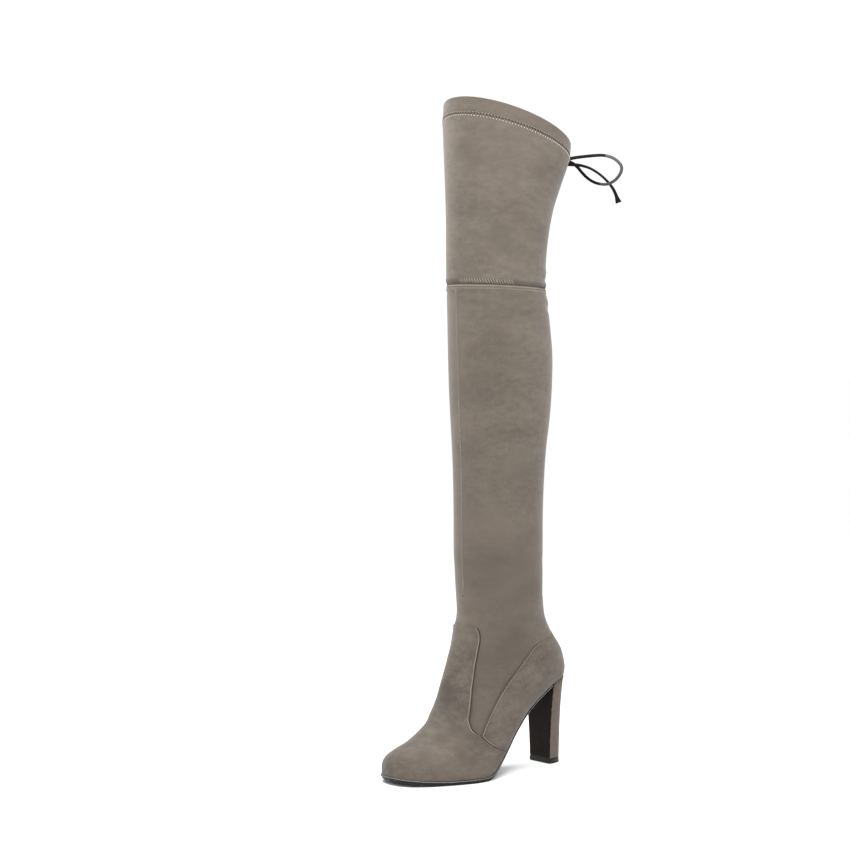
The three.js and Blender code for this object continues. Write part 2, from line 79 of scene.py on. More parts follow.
# %% [markdown]
# ## Helpers
#
# Each piece starts as a bmesh and becomes an object that stays at the origin, so that patterns
# on Object coordinates stay where they are put. One helper turns a bmesh into such an object and
# says what it stands for. Others add a modifier or close the open ends of a shape.

# %% Pieces
def piece_from(cloth, name, replaced=(), recalculate=True):
    """Turns a bmesh into an object that rides on the boot, and hides the model's parts that it replaces."""
    if recalculate:
        bmesh.ops.recalc_face_normals(cloth, faces=cloth.faces)
    for face in cloth.faces:
        face.smooth = True
    mesh = bpy.data.meshes.new(name)
    cloth.to_mesh(mesh)
    cloth.free()
    piece = bpy.data.objects.new(name, mesh)
    bpy.context.collection.objects.link(piece)
    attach(piece, "root")
    if replaced:
        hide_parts(*replaced)
    return piece


def add_modifier(piece, kind, **settings):
    """Adds a modifier and sets it up."""
    modifier = piece.modifiers.new(kind.title(), kind)
    for setting, value in settings.items():
        setattr(modifier, setting, value)


def round_edges(piece, width, segments, angle):
    """Bevels the edges that turn by more than an angle in degrees, by a width in millimetres."""
    settings = {"limit_method": "ANGLE", "angle_limit": math.radians(angle)}
    add_modifier(piece, "BEVEL", width=width * mm, segments=segments, **settings)


def close_ends(cloth):
    """Fills the open ends of a shape."""
    ends = [edge for edge in cloth.edges if edge.is_boundary]
    bmesh.ops.holes_fill(cloth, edges=ends, sides=0)


def between(a, b, share):
    """The value at a share of the way from a to b."""
    return a + (b - a) * share


# %% [markdown]
# Shapes here are drawn by rows: a table gives a section wherever the shape turns, and a smooth
# curve through the rows gives the sections in between. A Catmull-Rom curve passes through each
# row, which a maker's last does too, and its ends are continued straight.

# %% Smooth rows
def smooth_rows(rows, steps):
    """Rows on a smooth curve through the given rows, with so many steps from each to the next."""
    rows = np.array(rows, float)
    first, last = 2 * rows[0] - rows[1], 2 * rows[-1] - rows[-2]
    knots = np.vstack([first, rows, last])
    finer = []
    for k in range(1, len(knots) - 2):
        before, here, there, beyond = knots[k - 1 : k + 3]
        count = steps[k - 1] if isinstance(steps, (list, tuple)) else steps
        for t in np.arange(count) / count:
            finer.append(
                0.5
                * (
                    2 * here
                    + (there - before) * t
                    + (2 * before - 5 * here + 4 * there - beyond) * t**2
                    + (3 * here - before - 3 * there + beyond) * t**3
                )
            )
    finer.append(rows[-1])
    return np.array(finer)


def table(heading, rows):
    """A table as one array for each name in its heading."""
    return dict(zip(heading.split(), np.array(rows, float).T))


# %% [markdown]
# ## Drawstring
#
# The collar is closed by a soft flat cord of faux suede, tied at the back in a bow. It isn't
# cloth with a free form but a cord of fixed length, so its route is a list of given points, and a
# ring of the cord's section follows it. The routes are the model's own, drawn about a
# millimetre closer together where they leave the knot.

# %% Drawstring routes
lace_width = 3.8 * mm
lace_thickness = 2.2 * mm
knot_middle = Vector((0, 105.8 * mm, 595.0 * mm))
lace_twist, lace_untwist = 80, 30  # degrees at the ends of a stretch and in its middle
tip_flare, flared_rings = 1.7, 4  # the cut tip of the cord is wider over its last rings
loop_turn = 62  # degrees from straight back
end_turns = {"outer": 38, "inner": 86}
loop_route = [
    (5.6, 1.6), (10, 2.1), (18.4, 3.4), (35.5, 4.5), (46.5, 4.3), (56, 1.3), (63, -4.7),
    (64.5, -10), (62, -15.8), (57, -20.8), (49, -24), (39, -22.6), (31, -18.4), (24.5, -12.4),
    (18, -5), (11.5, -1.2), (5.6, -0.3),
]
end_route = [
    (4.8, -2.4), (11.5, -3.0), (20, -3.5), (30, -6.2), (39, -11.4), (46, -17.2), (52, -24),
    (56, -31), (59.5, -40.5),
]


def lace_path(route, turn):
    """Points in space of a route in an upright plane through the knot, and the way across it."""
    angle = math.radians(turn)
    across, back = math.sin(angle), math.cos(angle)
    points = [(across * out, back * out, up) for out, up in route]
    path = [knot_middle + Vector(point) * mm for point in smooth_rows(points, 6)]
    return path, Vector((back, -across, 0))


def ring_edges(ring):
    """The edges of a ring of corners, in a fixed order."""
    return list(dict.fromkeys(edge for vert in ring for edge in vert.link_edges))


def add_tube(cloth, path, sideways, width, thickness, flare=1.0, segments=14):
    """A cord along a path: a circle squashed to its section, moved and bridged to the next."""
    rings = []
    for k, (point, side) in enumerate(zip(path, sideways)):
        before, after = path[max(k - 1, 0)], path[min(k + 1, len(path) - 1)]
        upright = side.cross(after - before).normalized()
        grown = 1 + (flare - 1) * max(0, (k + 1 + flared_rings - len(path)) / flared_rings)
        ring = bmesh.ops.create_circle(cloth, segments=segments, radius=0.5)["verts"]
        rings.append(ring_edges(ring))
        for vert in ring:
            wide, thick = vert.co.x * width * grown, vert.co.y * thickness * grown
            vert.co = point + side * wide + upright * thick
    for near, far in zip(rings, rings[1:]):
        bmesh.ops.bridge_loops(cloth, edges=near + far)
    close_ends(cloth)
    return cloth


def twisted(path, across):
    """The way across a flat cord at each point, as it rolls a little on its way."""
    ways = []
    for k in range(len(path)):
        along = (path[min(k + 1, len(path) - 1)] - path[max(k - 1, 0)]).normalized()
        middle = math.sin(math.pi * k / (len(path) - 1))
        roll = Matrix.Rotation(math.radians(between(lace_twist, lace_untwist, middle)), 3, along)
        ways.append(roll @ across)
    return ways


for side, sign in (("outer", 1), ("inner", -1)):
    for part, route, turn, flare, far_end in (
        ("loop", loop_route, loop_turn, 1.0, "knot"),
        ("end", end_route, end_turns[side], tip_flare, "bare"),
    ):
        path, across = lace_path(route, sign * turn)
        cloth = add_tube(bmesh.new(), path, twisted(path, across), lace_width, lace_thickness, flare)
        lace = piece_from(cloth, f"lace_{part}_{side}", [f"drawstring_{part}_{side}"])

# %% [markdown]
# The knot is a tight overhand knot. A trefoil curve is the closed form of that knot, so a cord
# laid on a small trefoil shows the same crossings from every side.

# %% Knot
def trefoil(t, size):
    """A point on a small trefoil that lies flat against the boot."""
    return Vector(
        (
            (math.sin(t) + 2 * math.sin(2 * t)) * size.x,
            -math.sin(3 * t) * size.y,
            (math.cos(t) - 2 * math.cos(2 * t)) * size.z,
        )
    )


knot_size = Vector((1.35, 1.9, 1.2)) * mm
knot_cord_radius = 1.55 * mm
turns, knot_segments = 72, 10
knot_path = [knot_middle + trefoil(2 * math.pi * k / turns, knot_size) for k in range(turns)]
knot_cloth = bmesh.new()
knot_rings = []
for k, point in enumerate(knot_path):
    along = (knot_path[(k + 1) % turns] - knot_path[k - 1]).normalized()
    spin = along.to_track_quat("Z", "Y").to_matrix().to_4x4()
    place = Matrix.Translation(point) @ spin
    ring = bmesh.ops.create_circle(
        knot_cloth, segments=knot_segments, radius=knot_cord_radius, matrix=place
    )["verts"]
    knot_rings.append(ring_edges(ring))
for k in range(turns):
    bmesh.ops.bridge_loops(knot_cloth, edges=knot_rings[k - 1] + knot_rings[k])
knot = piece_from(knot_cloth, "lace_knot", ["drawstring_knot"])

# %% [markdown]
# ## The last
#
# A boot is made on a last, a block with the shape of the foot. Everything that follows is laid
# on that form, so it comes first: the line of the sole seen from the side, then slices from the
# toe over the instep to the heel, then slices up the leg. Sizes are in millimetres here and the
# tables hold shares of them. They are the model's own, so cloth and model agree.

# %% Sizes of the boot
foot_length = 204
ball_width = 81
heel_height = 85
instep_rise = 50
toe_spring = 3.6
toe_swing = 8
crest_shift = 4
ankle_height, ankle_depth, ankle_width = 215, 93.5, 77
calf_depth, calf_width = 109, 91
knee_height, knee_drop = 471, 4
collar_height, collar_drop = 648, 46
collar_depth, collar_width = 131, 114
hem_height, hem_wall = 17, 2.8
wall, panel_wall, panel_lift = 1.4, 1.1, 0.3
slit_depth, slit_width = 20, 5
collar_middle = 0.319  # middle of the collar, as a share of the foot's length
sole_thickness, sole_lip, lip_margin, tread_margin = 3.4, 1.3, 0.9, -0.5
heel_breast, heel_tip_depth, heel_tip_width, heel_tip_fore = 22.5, 20.5, 29, 0.5
heel_squareness = 0.8
top_lift = 5
lasting_tuck = 4
middle_fore = 101.8  # lengths along the foot start at the heel's back, this far behind the middle
seat_height = sole_thickness + heel_height
foot_height = heel_height + instep_rise

# %% Sole line
sole_rows = smooth_rows(
    [
        (-0.06, 1.035, 0, 0.6), (0.0, 1.0, 0, 0.6), (0.067, 0.95, 0, 0.6), (0.134, 0.88, 0, 0.6),
        (0.215, 0.765, 0, 0.6), (0.297, 0.615, 0, 0.6), (0.368, 0.455, 0, 0.62), (0.44, 0.27, 0, 0.7),
        (0.517, 0.1, 0, 0.85), (0.574, 0.022, 0, 0.96), (0.622, 0, 0, 1), (0.72, 0, 0, 1),
        (0.82, 0, 0.1, 1), (0.92, 0, 0.5, 1), (1.0, 0, 1, 1), (1.06, 0, 1.4, 1),
    ],
    8,
)
sole_fore = sole_rows[:, 0] * foot_length
sole_height = np.maximum(
    sole_thickness + sole_rows[:, 1] * heel_height + sole_rows[:, 2] * toe_spring, sole_thickness
)


def sole_top(fore):
    """Height of the top of the sole at a length along the foot."""
    return np.interp(fore, sole_fore, sole_height)


def sole_depth(fore):
    """Thickness of the sole at a length along the foot."""
    return np.interp(fore, sole_fore, sole_rows[:, 3] * sole_thickness)


# %% Slices of the foot
foot_rows = table(
    "top_at lift rise bottom_at back half skew swing crest widest base crown",
    [
        (1, 0, 0.26, 1, -9, 0.05, 0, 1, 0, 0.5, 4, 2.2),
        (0.997, 0, 0.34, 0.997, -9, 0.115, 0, 0.98, 0, 0.48, 4, 2.2),
        (0.983, 0, 0.41, 0.983, -9, 0.205, 0, 0.95, 0, 0.46, 5, 2.2),
        (0.957, 0, 0.47, 0.957, -9, 0.285, -0.03, 0.9, 0, 0.44, 5, 2.2),
        (0.919, 0, 0.525, 0.919, -9, 0.355, -0.05, 0.8, 0, 0.42, 5, 2.2),
        (0.866, 0, 0.59, 0.866, -9, 0.42, -0.06, 0.68, 0.1, 0.39, 5, 2.2),
        (0.806, 0, 0.68, 0.806, -9, 0.465, -0.05, 0.54, 0.3, 0.36, 5, 2.15),
        (0.748, 0.04, 0.775, 0.748, -9, 0.49, -0.02, 0.4, 0.6, 0.33, 5, 2.1),
        (0.7, 0.11, 0.87, 0.69, -9, 0.5, 0.02, 0.28, 0.9, 0.3, 5, 2),
        (0.68, 0.2, 0.94, 0.632, -9, 0.495, 0.05, 0.2, 1, 0.28, 5, 1.95),
        (0.672, 0.31, 0.99, 0.57, -9, 0.47, 0.07, 0.12, 1, 0.27, 5, 1.9),
        (0.671, 0.445, 1, 0.503, -9, 0.43, 0.08, 0.05, 1, 0.29, 4.5, 1.9),
        (0.663, 0.58, 1, 0.43, -9, 0.4, 0.07, 0, 0.9, 0.31, 4, 1.9),
        (0.647, 0.725, 1, 0.35, -9, 0.385, 0.05, 0, 0.75, 0.36, 3.8, 1.95),
        (0.63, 0.865, 1, 0.258, -9, 0.385, 0.03, 0, 0.55, 0.42, 3.6, 2),
        (0.618, 1, 1, 0.158, -9, 0.4, 0.01, 0, 0.35, 0.48, 3.4, 2),
        (0.609, 1, 1.16, 0.08, -9, 0.413, 0, 0, 0.25, 0.51, 3, 2),
        (0.603, 1, 1.26, 0.03, -9, 0.42, 0, 0, 0.2, 0.53, 2.7, 2),
        (0.6, 1, 1.33, 0.006, -0.03, 0.425, 0, 0, 0.15, 0.54, 2.5, 2),
        (0.599, 1, 1.42, -0.002, 0.13, 0.43, 0, 0, 0.1, 0.54, 2.4, 2),
        (0.598, 1, 1.55, 0.019, 0.45, 0.44, 0, 0, 0, 0.53, 2.25, 2),
        (0.597, 1, 1.72, 0.077, 0.77, 0.452, 0, 0, 0, 0.51, 2.1, 2),
        (0.596, 1, 1.93, 0.125, 1.12, 0.462, 0, 0, 0, 0.505, 2, 2),
        (0.597, 1, 2.18, 0.145, 1.56, 0.47, 0, 0, 0, 0.5, 2, 2),
    ],
)
on_sole = foot_rows["back"] < -1
bottom_fore = foot_rows["bottom_at"] * foot_length
half_width = foot_rows["half"] * ball_width
foot_slices = np.array(
    [
        foot_rows["top_at"] * foot_length,
        sole_thickness + foot_rows["lift"] * heel_height + foot_rows["rise"] * instep_rise,
        bottom_fore,
        np.where(
            on_sole, sole_top(bottom_fore) - lasting_tuck, seat_height + foot_rows["back"] * instep_rise
        ),
        half_width * (1 + foot_rows["skew"]),
        half_width * (1 - foot_rows["skew"]),
        foot_rows["swing"] * toe_swing,
        foot_rows["crest"] * crest_shift,
        foot_rows["widest"],
        foot_rows["base"],
        foot_rows["crown"],
    ]
).T


# %% Slices of the leg
def leg_slice(middle, depth, width, front, back):
    """An oval slice of the leg whose front and back may stand at different heights."""
    fore = middle * foot_length
    return [fore + depth / 2, front, fore - depth / 2, back, width / 2, width / 2, 0, 0, 0.5, 2, 2]


shaft_slices = [
    leg_slice(
        middle,
        between(ankle_depth, calf_depth, full),
        between(ankle_width, calf_width, full),
        between(ankle_height, knee_height, up),
        between(ankle_height, knee_height - knee_drop, up),
    )
    for up, middle, full in [
        (0, 0.374, 0), (0.14, 0.374, 0.02), (0.275, 0.372, 0.14), (0.39, 0.369, 0.35),
        (0.51, 0.363, 0.7), (0.635, 0.361, 0.93), (0.757, 0.363, 1), (0.88, 0.374, 0.85),
        (1, 0.389, 0.65),
    ]
]
knee_depth = between(ankle_depth, calf_depth, 0.65)
knee_width = between(ankle_width, calf_width, 0.65)


def thigh_slice(middle, flare, front, back):
    """A slice of the thigh panel, between the knee's size and the collar's."""
    depth = between(knee_depth, collar_depth, flare)
    width = between(knee_width, collar_width, flare)
    return leg_slice(middle, depth, width, front, back)


hem_line = collar_height - hem_height
edge_roll = 0.2 * hem_height  # the collar's edge rolls over this height
thigh_slices = [
    thigh_slice(
        middle,
        flare,
        between(knee_height, hem_line, up),
        between(knee_height - knee_drop, hem_line - collar_drop, up),
    )
    for up, middle, flare in [
        (0, 0.389, 0), (0.2, 0.39, 0.02), (0.42, 0.382, 0.12), (0.63, 0.37, 0.33),
        (0.83, 0.349, 0.65), (1, 0.329, 0.94),
    ]
] + [
    thigh_slice(0.32, 1, collar_height - edge_roll, collar_height - collar_drop - edge_roll),
    thigh_slice(collar_middle, 1, collar_height, collar_height - collar_drop),
]

# %% [markdown]
# A slice is a rounded square curve, squarer under its widest point than over it. Points at even
# angles would crowd into its corners, so each half is first drawn finely and then divided again
# into even lengths. Point 0 is the bottom or back, and the points go over the outer side.

# %% Rings of points
ring_points = 176
fine_points = 1200


def ring_of(cut):
    """Evenly spaced points round a slice, in millimetres: across, fore and height."""
    top_fore, top_height, low_fore, low_height, outer, inner, swing, crest, widest, base, crown = cut
    angle = np.linspace(0, math.pi, fine_points)
    down = np.cos(angle)
    power = np.where(down > 0, 2 / base, 2 / crown)
    along = widest + np.where(down > 0, -widest, 1 - widest) * np.abs(down) ** power
    out = np.clip(np.sin(angle), 0, 1) ** power
    fore = between(low_fore, top_fore, along)
    height = between(low_height, top_height, along)
    halves = []
    for half in (outer, -inner):
        points = np.array([half * out - swing - crest * along, fore, height]).T
        length = np.append(0, np.cumsum(np.linalg.norm(np.diff(points, axis=0), axis=1)))
        even = np.linspace(0, length[-1], ring_points // 2 + 1)
        halves.append(np.array([np.interp(even, length, points[:, k]) for k in range(3)]).T)
    return np.vstack([halves[0][:-1], halves[1][::-1][:-1]])


def rings_to_space(rings):
    """Rings of across, fore and height in millimetres as points of the frame, in metres."""
    across, fore, height = np.moveaxis(np.asarray(rings, float), -1, 0)
    return np.stack([across, middle_fore - fore, height], axis=-1) * mm


def normals_of(rings):
    """Outward direction at each point of a stack of closed rings."""
    along = np.gradient(rings, axis=0)
    around = np.roll(rings, -1, axis=1) - np.roll(rings, 1, axis=1)
    normal = np.cross(along, around)
    return normal / np.maximum(np.linalg.norm(normal, axis=-1, keepdims=True), 1e-12)


toe_close = [(0.05, 0.55), (0.45, 0.5), (0.8, 0.25)]  # size of the ring, how far it bulges forward
foot_cuts = smooth_rows(foot_slices, 5)
leg_cuts = smooth_rows(np.vstack([foot_slices[-1], shaft_slices]), [10] + [12] * 8)[1:]
lower_cuts = np.vstack([foot_cuts, leg_cuts])
lower_rings = [ring_of(cut) for cut in lower_cuts]
tip_middle = lower_rings[0].mean(axis=0)
tips = [
    tip_middle + (lower_rings[0] - tip_middle) * size + np.array([0, bulge, 0])
    for size, bulge in toe_close
]
lower_rings = np.array(tips + lower_rings)
foot_ring_count = len(tips) + len(foot_cuts)
print("rings from the toe to the knee:", len(lower_rings), "of", ring_points, "points")

# %% [markdown]
# ## Creases
#
# Empty stretch cloth and suede keep soft marks where the foot bent them. Each is listed
# in the boot's own sizes: a line on the side of the boot, how wide the trough is and how deep.
# A negative depth is a ridge. The trough fades towards both ends of its line.

# %% Creases
crease_rows = [
    # fore and height where it starts, the same where it ends, width, depth, side
    (146, 44, 118, 30, 5.5, 0.55, 1),
    (150, 39, 128, 24, 4.5, -0.35, 1),
    (158, 36, 138, 22, 5.0, 0.4, 1),
    (172, 27, 156, 17, 4.5, 0.3, 1),
    (138, 60, 120, 52, 5.0, 0.4, 1),
    (139, 72, 126, 62, 5.5, -0.3, 1),
    (136, 88, 120, 84, 5.0, 0.4, 1),
    (131, 112, 119, 106, 5.0, 0.35, 1),
    (88, 60, 66, 84, 6.0, 0.45, 1),
    (70, 52, 50, 66, 6.0, 0.4, 1),
    (122, 160, 96, 152, 5.0, 0.5, 1),
    (60, 150, 40, 160, 6.0, 0.45, 1),
    (118, 188, 88, 180, 7.0, 0.45, 1),
    (60, 196, 36, 206, 7.0, 0.45, 1),
    (146, 46, 120, 34, 5.5, 0.5, -1),
    (156, 34, 136, 24, 5.0, 0.4, -1),
    (137, 74, 120, 66, 5.5, 0.4, -1),
    (131, 108, 116, 100, 5.0, 0.4, -1),
    (120, 158, 90, 150, 5.5, 0.5, -1),
    (64, 150, 42, 162, 6.0, 0.5, -1),
    (84, 300, 44, 290, 10, 0.5, 1),
    (118, 388, 70, 380, 12, 0.5, 1),
    (66, 416, 30, 424, 10, 0.5, 1),
    (100, 250, 60, 244, 9, 0.5, -1),
    (110, 400, 60, 392, 12, 0.6, -1),
    # the cloth is drawn in by the knee's seam
    (130, 464, 112, 461, 2.6, 0.9, 1),
    (136, 459, 118, 455, 3.0, -0.5, 1),
    (58, 466, 22, 458, 2.6, 1.0, 1),
    (56, 460, 26, 450, 3.4, -0.6, 1),
    (50, 455, 24, 440, 4.0, 0.7, 1),
    (58, 466, 24, 458, 3.0, 0.9, -1),
    (128, 464, 110, 460, 2.8, 0.8, -1),
]
thigh_crease_rows = [
    (58, 473, 24, 477, 2.8, 1.0, 1),
    (54, 480, 26, 486, 3.6, -0.6, 1),
    (132, 476, 112, 480, 3.0, 0.7, 1),
    (58, 473, 24, 478, 3.0, 0.9, -1),
    (118, 540, 86, 534, 9, 0.45, 1),
    (108, 588, 82, 584, 8, 0.4, 1),
    (56, 556, 28, 548, 9, 0.5, 1),
    (74, 596, 50, 572, 8, 0.4, 1),
    (112, 560, 70, 552, 10, 0.5, -1),
    (60, 520, 30, 512, 10, 0.5, -1),
]


side_fade = 12  # a crease on one side fades over this distance across the middle


def outward(rings):
    """Outward direction at each point of the rings, as across, fore and height."""
    return normals_of(rings_to_space(rings)) * [1, -1, 1]


def crease(rings, rows):
    """Moves rings in and out along creases, and returns them."""
    depth = np.zeros(rings.shape[:2])
    for fore_a, height_a, fore_b, height_b, width, deep, side in rows:
        start = np.array([fore_a, height_a])
        line = np.array([fore_b, height_b]) - start
        offset = rings[..., 1:] - start
        share = (offset @ line) / (line @ line)
        nearest = np.clip(share, 0, 1)[..., None] * line
        distance = np.linalg.norm(offset - nearest, axis=-1)
        fade = np.clip(1 - np.abs(2 * np.clip(share, -0.2, 1.2) - 1) ** 2, 0, 1)
        on_side = np.clip(0.5 + side * rings[..., 0] / side_fade, 0, 1)
        depth += deep * np.exp(-((distance / width) ** 2) * 2) * fade * on_side
    return rings - outward(rings) * depth[..., None]


def pinch(rings, depths):
    """Pulls whole rings in by a depth each, as a seam's thread does."""
    normal = outward(rings)
    pinched = rings.copy()
    for row, depth in depths.items():
        pinched[row] -= normal[row] * depth
    return pinched


lower_rings[len(tips) :] = crease(lower_rings[len(tips) :], crease_rows)
below_seam = {-1: 0.9, -2: 0.1, -3: -0.35, -4: -0.2}  # the seam draws the last ring in
lower_rings = pinch(lower_rings, below_seam)

# %% [markdown]
# ## Laying cloth on the last
#
# A maker wraps a flat piece round the last and closes it at the back. The same is done here: a
# flat grid is made by an operator, each of its corners goes to a point of the rings, and the
# doubled corners at the closing seam are merged. The first ring at the toe tip is only a pinhole.

# %% Wrapping
def wrapped(rings):
    """A grid of cloth laid on closed rings of points, in metres."""
    tall, around = rings.shape[:2]
    cloth = bmesh.new()
    bmesh.ops.create_grid(cloth, x_segments=around, y_segments=tall - 1, size=0.5)
    for vert in cloth.verts:
        k = round((vert.co.x + 0.5) * around) % around
        i = round((vert.co.y + 0.5) * (tall - 1))
        vert.co = rings[i, k]
    bmesh.ops.remove_doubles(cloth, verts=cloth.verts, dist=0.01 * mm)
    return cloth


def on_last(rings, lift):
    """Rings moved out by a distance in millimetres, and set down on the sole line."""
    space = rings_to_space(rings)
    space = space + normals_of(space) * np.asarray(lift)[..., None] * mm
    fore = middle_fore - space[..., 1] / mm
    space[..., 2] = np.maximum(space[..., 2], sole_top(fore) * mm)
    return space


sole_slack = 0.02


def near_sole(point, slack=sole_slack):
    """True for a point that was set down on the sole line."""
    return point.z / mm < sole_top(middle_fore - point.y / mm) + slack


# %% [markdown]
# ## Stretch upper
#
# The lower part of the boot is a sock of stretch cloth in one piece, from the toe to the knee.
# It is one sheet here too. A Solidify modifier gives it the wall of the cloth with its lining,
# and the inner side gets the second material.

# %% Upper
lower_space = on_last(lower_rings, 0)
upper_cloth = wrapped(lower_space)
upper = piece_from(upper_cloth, "stretch_upper", ["upper"])
add_modifier(upper, "SOLIDIFY", thickness=wall * mm, offset=-1, material_offset=1)
print("stretch upper:", len(upper.data.polygons), "faces")

# %% [markdown]
# ## Thigh panel
#
# A wider tube joins the sock over the knee. Its top is folded over to make the tunnel of the
# drawstring, so the wall is double there and the edge is rolled. The thickness of the Solidify
# modifier is halved by a vertex group under the hem, and a Bevel rounds the edge.

# %% Thigh panel
thigh_steps = [12] * 5 + [6, 3]
hem_ring = sum(thigh_steps[:5])
above_seam = {0: 0.9, 1: 0.1, 2: -0.3, 3: -0.15}
beside_hem = {hem_ring - 1: -0.05, hem_ring: 0.05, hem_ring + 1: 0.05, hem_ring + 2: -0.05}
thigh_rings = np.array([ring_of(cut) for cut in smooth_rows(thigh_slices, thigh_steps)])
thigh_rings = pinch(crease(thigh_rings, thigh_crease_rows), above_seam | beside_hem)
thigh_space = rings_to_space(thigh_rings)
panel_cloth = wrapped(thigh_space)
collar_back = (collar_height - collar_drop) * mm


def in_slit(point):
    """True for a place in the slit at the back that the drawstring comes out of."""
    return abs(point.x) < slit_width / 2 * mm and point.y > 0 and point.z > collar_back - slit_depth * mm


slit = [face for face in panel_cloth.faces if in_slit(face.calc_center_median())]
bmesh.ops.delete(panel_cloth, geom=slit, context="FACES")
thigh = piece_from(panel_cloth, "thigh_cloth", ["thigh_panel"])


def edge_height(y):
    """Height of the collar's edge over a place along the boot, in metres."""
    front = middle_fore * mm - (collar_middle * foot_length + collar_depth / 2) * mm
    share = (y - front) / (collar_depth * mm)
    return between(collar_height, collar_height - collar_drop, share) * mm


hem_group = thigh.vertex_groups.new(name="hem")
for vert in thigh.data.vertices:
    under = (edge_height(vert.co.y) - vert.co.z) / mm
    weight = 1.0 if under < hem_height else wall / hem_wall
    hem_group.add([vert.index], weight, "REPLACE")
add_modifier(thigh, "SOLIDIFY", thickness=hem_wall * mm, offset=-1, material_offset=1, vertex_group="hem")
round_edges(thigh, 1.1, 3, 55)
print("thigh panel:", len(thigh.data.polygons), "faces")

# %% [markdown]
# ## Vamp and counter
#
# Suede panels lie over the stretch cloth at the front of the foot and round the heel. Each is
# the same surface, lifted by the cloth's gap and the panel's thickness, and cut along an edge
# that is drawn on the side of the boot. Faces outside the edge are deleted, and the corners
# that are left beside it slide along the surface onto the line, which leaves a clean cut.

# %% Edges of the panels
vamp_edge = [
    (0.7, 1.07), (0.607, 1.065), (0.584, 1.045), (0.573, 1.01), (0.572, 0.95), (0.584, 0.87),
    (0.607, 0.734), (0.633, 0.59), (0.655, 0.462), (0.667, 0.39), (0.666, 0.33), (0.638, 0.298),
    (0.594, 0.236), (0.52, 0.18), (0.42, 0.12),
]
counter_edge = [
    (-0.05, 0.985), (0.1, 0.965), (0.22, 0.92), (0.292, 0.875), (0.343, 0.801), (0.401, 0.709),
    (0.485, 0.578), (0.561, 0.435), (0.638, 0.28), (0.7, 0.15),
]


def area_past(edge_rows, far_share):
    """The corners of an area that an edge closes off, past the toe or past the heel."""
    edge = smooth_rows(edge_rows, 5) * [foot_length, foot_height] + [0, sole_thickness]
    far_fore, under = far_share * foot_length, -foot_height
    corners = [(edge[-1][0], under), (far_fore, under), (far_fore, edge[0][1])]
    return np.vstack([edge, corners])


vamp_area = area_past(vamp_edge, 1.5)
counter_area = area_past(counter_edge, -0.5)


def depth_in(area, points):
    """How far inside an area each point of fore and height lies, and the way further in."""
    ends = np.roll(area, -1, axis=0)
    line = ends - area
    offset = points[:, None] - area[None]
    share = np.clip((offset * line).sum(-1) / np.maximum((line * line).sum(-1), 1e-9), 0, 1)
    gap = offset - share[..., None] * line
    distance = np.linalg.norm(gap, axis=-1)
    nearest = distance.argmin(axis=1)
    rows = np.arange(len(points))
    distance, gap = distance[rows, nearest], gap[rows, nearest]
    level = (area[None, :, 1] > points[:, 1:2]) != (ends[None, :, 1] > points[:, 1:2])
    rise = np.where(np.abs(line[:, 1]) < 1e-9, 1e-9, line[:, 1])
    crossing = area[:, 0] + (points[:, 1:2] - area[:, 1]) * line[:, 0] / rise
    inside = (level & (points[:, 0:1] < crossing)).sum(axis=1) % 2 == 1
    sign = np.where(inside, 1.0, -1.0)
    return distance * sign, gap * (sign / np.maximum(distance, 1e-9))[:, None]


def side_view(points):
    """Fore and height of points of the frame, in millimetres."""
    points = np.array(points)
    return np.stack([middle_fore - points[:, 1] / mm, points[:, 2] / mm], axis=1)


slide_rounds, slide_reach, least_slope = 3, 3, 0.05


def cut_to(cloth, inside):
    """Keeps the part of a cloth where inside(points) is positive, with its border on the line."""
    centres = [face.calc_center_median() for face in cloth.faces]
    keep = inside(side_view(centres))[0] > 0
    outside = [
        face
        for face, kept in zip(cloth.faces, keep)
        if not kept or all(near_sole(vert.co) for vert in face.verts)
    ]
    bmesh.ops.delete(cloth, geom=outside, context="FACES")
    for _ in range(slide_rounds):
        cloth.normal_update()
        border = [vert for vert in cloth.verts if vert.is_boundary and not near_sole(vert.co)]
        depth, way = inside(side_view([vert.co for vert in border]))
        for vert, deep, (fore, height) in zip(border, depth, way):
            slope = Vector((0, -fore, height))
            slope -= vert.normal * slope.dot(vert.normal)
            steep = max(slope.length_squared, least_slope)
            if abs(deep) < slide_reach:
                vert.co -= slope * (deep * mm / steep)


foot_rings = lower_rings[:foot_ring_count]
panel_gap = 0.35  # between the counter and the vamp
top_thinning, thin_from, thin_to = 1.05, 85, 130  # the panels are skived thin towards their tops
thinning = top_thinning * np.clip((foot_rings[..., 2] - thin_from) / (thin_to - thin_from), 0, 1)
panel_space = on_last(foot_rings, panel_lift + panel_wall - thinning)


def vamp_depth(points):
    """How far inside the vamp each point lies, and the way further in."""
    return depth_in(vamp_area, points)


def counter_depth(points):
    """How far inside the counter, outside the vamp, each point lies, and the way further in."""
    in_counter, way_counter = depth_in(counter_area, points)
    in_vamp, way_vamp = vamp_depth(points)
    off_vamp = -in_vamp - panel_gap
    nearer = off_vamp < in_counter
    depth = np.where(nearer, off_vamp, in_counter)
    return depth, np.where(nearer[:, None], -way_vamp, way_counter)


shortest_edge = 20  # a run of border with fewer corners is no edge of the panel


def border_lines(cloth):
    """The cut edges of a panel away from the sole, as ordered points with their normals."""
    cloth.normal_update()
    edges = [
        edge
        for edge in cloth.edges
        if edge.is_boundary and not all(near_sole(vert.co, 0.4) for vert in edge.verts)
    ]
    left = set(edges)
    lines = []
    for first in edges:
        if first not in left:
            continue
        left.discard(first)
        line = list(first.verts)
        for _ in range(2):
            line.reverse()
            while step := next((edge for edge in line[-1].link_edges if edge in left), None):
                left.discard(step)
                line.append(step.other_vert(line[-1]))
        if len(line) > shortest_edge:
            lines.append([(vert.co.copy(), vert.normal.copy()) for vert in line])
    return lines


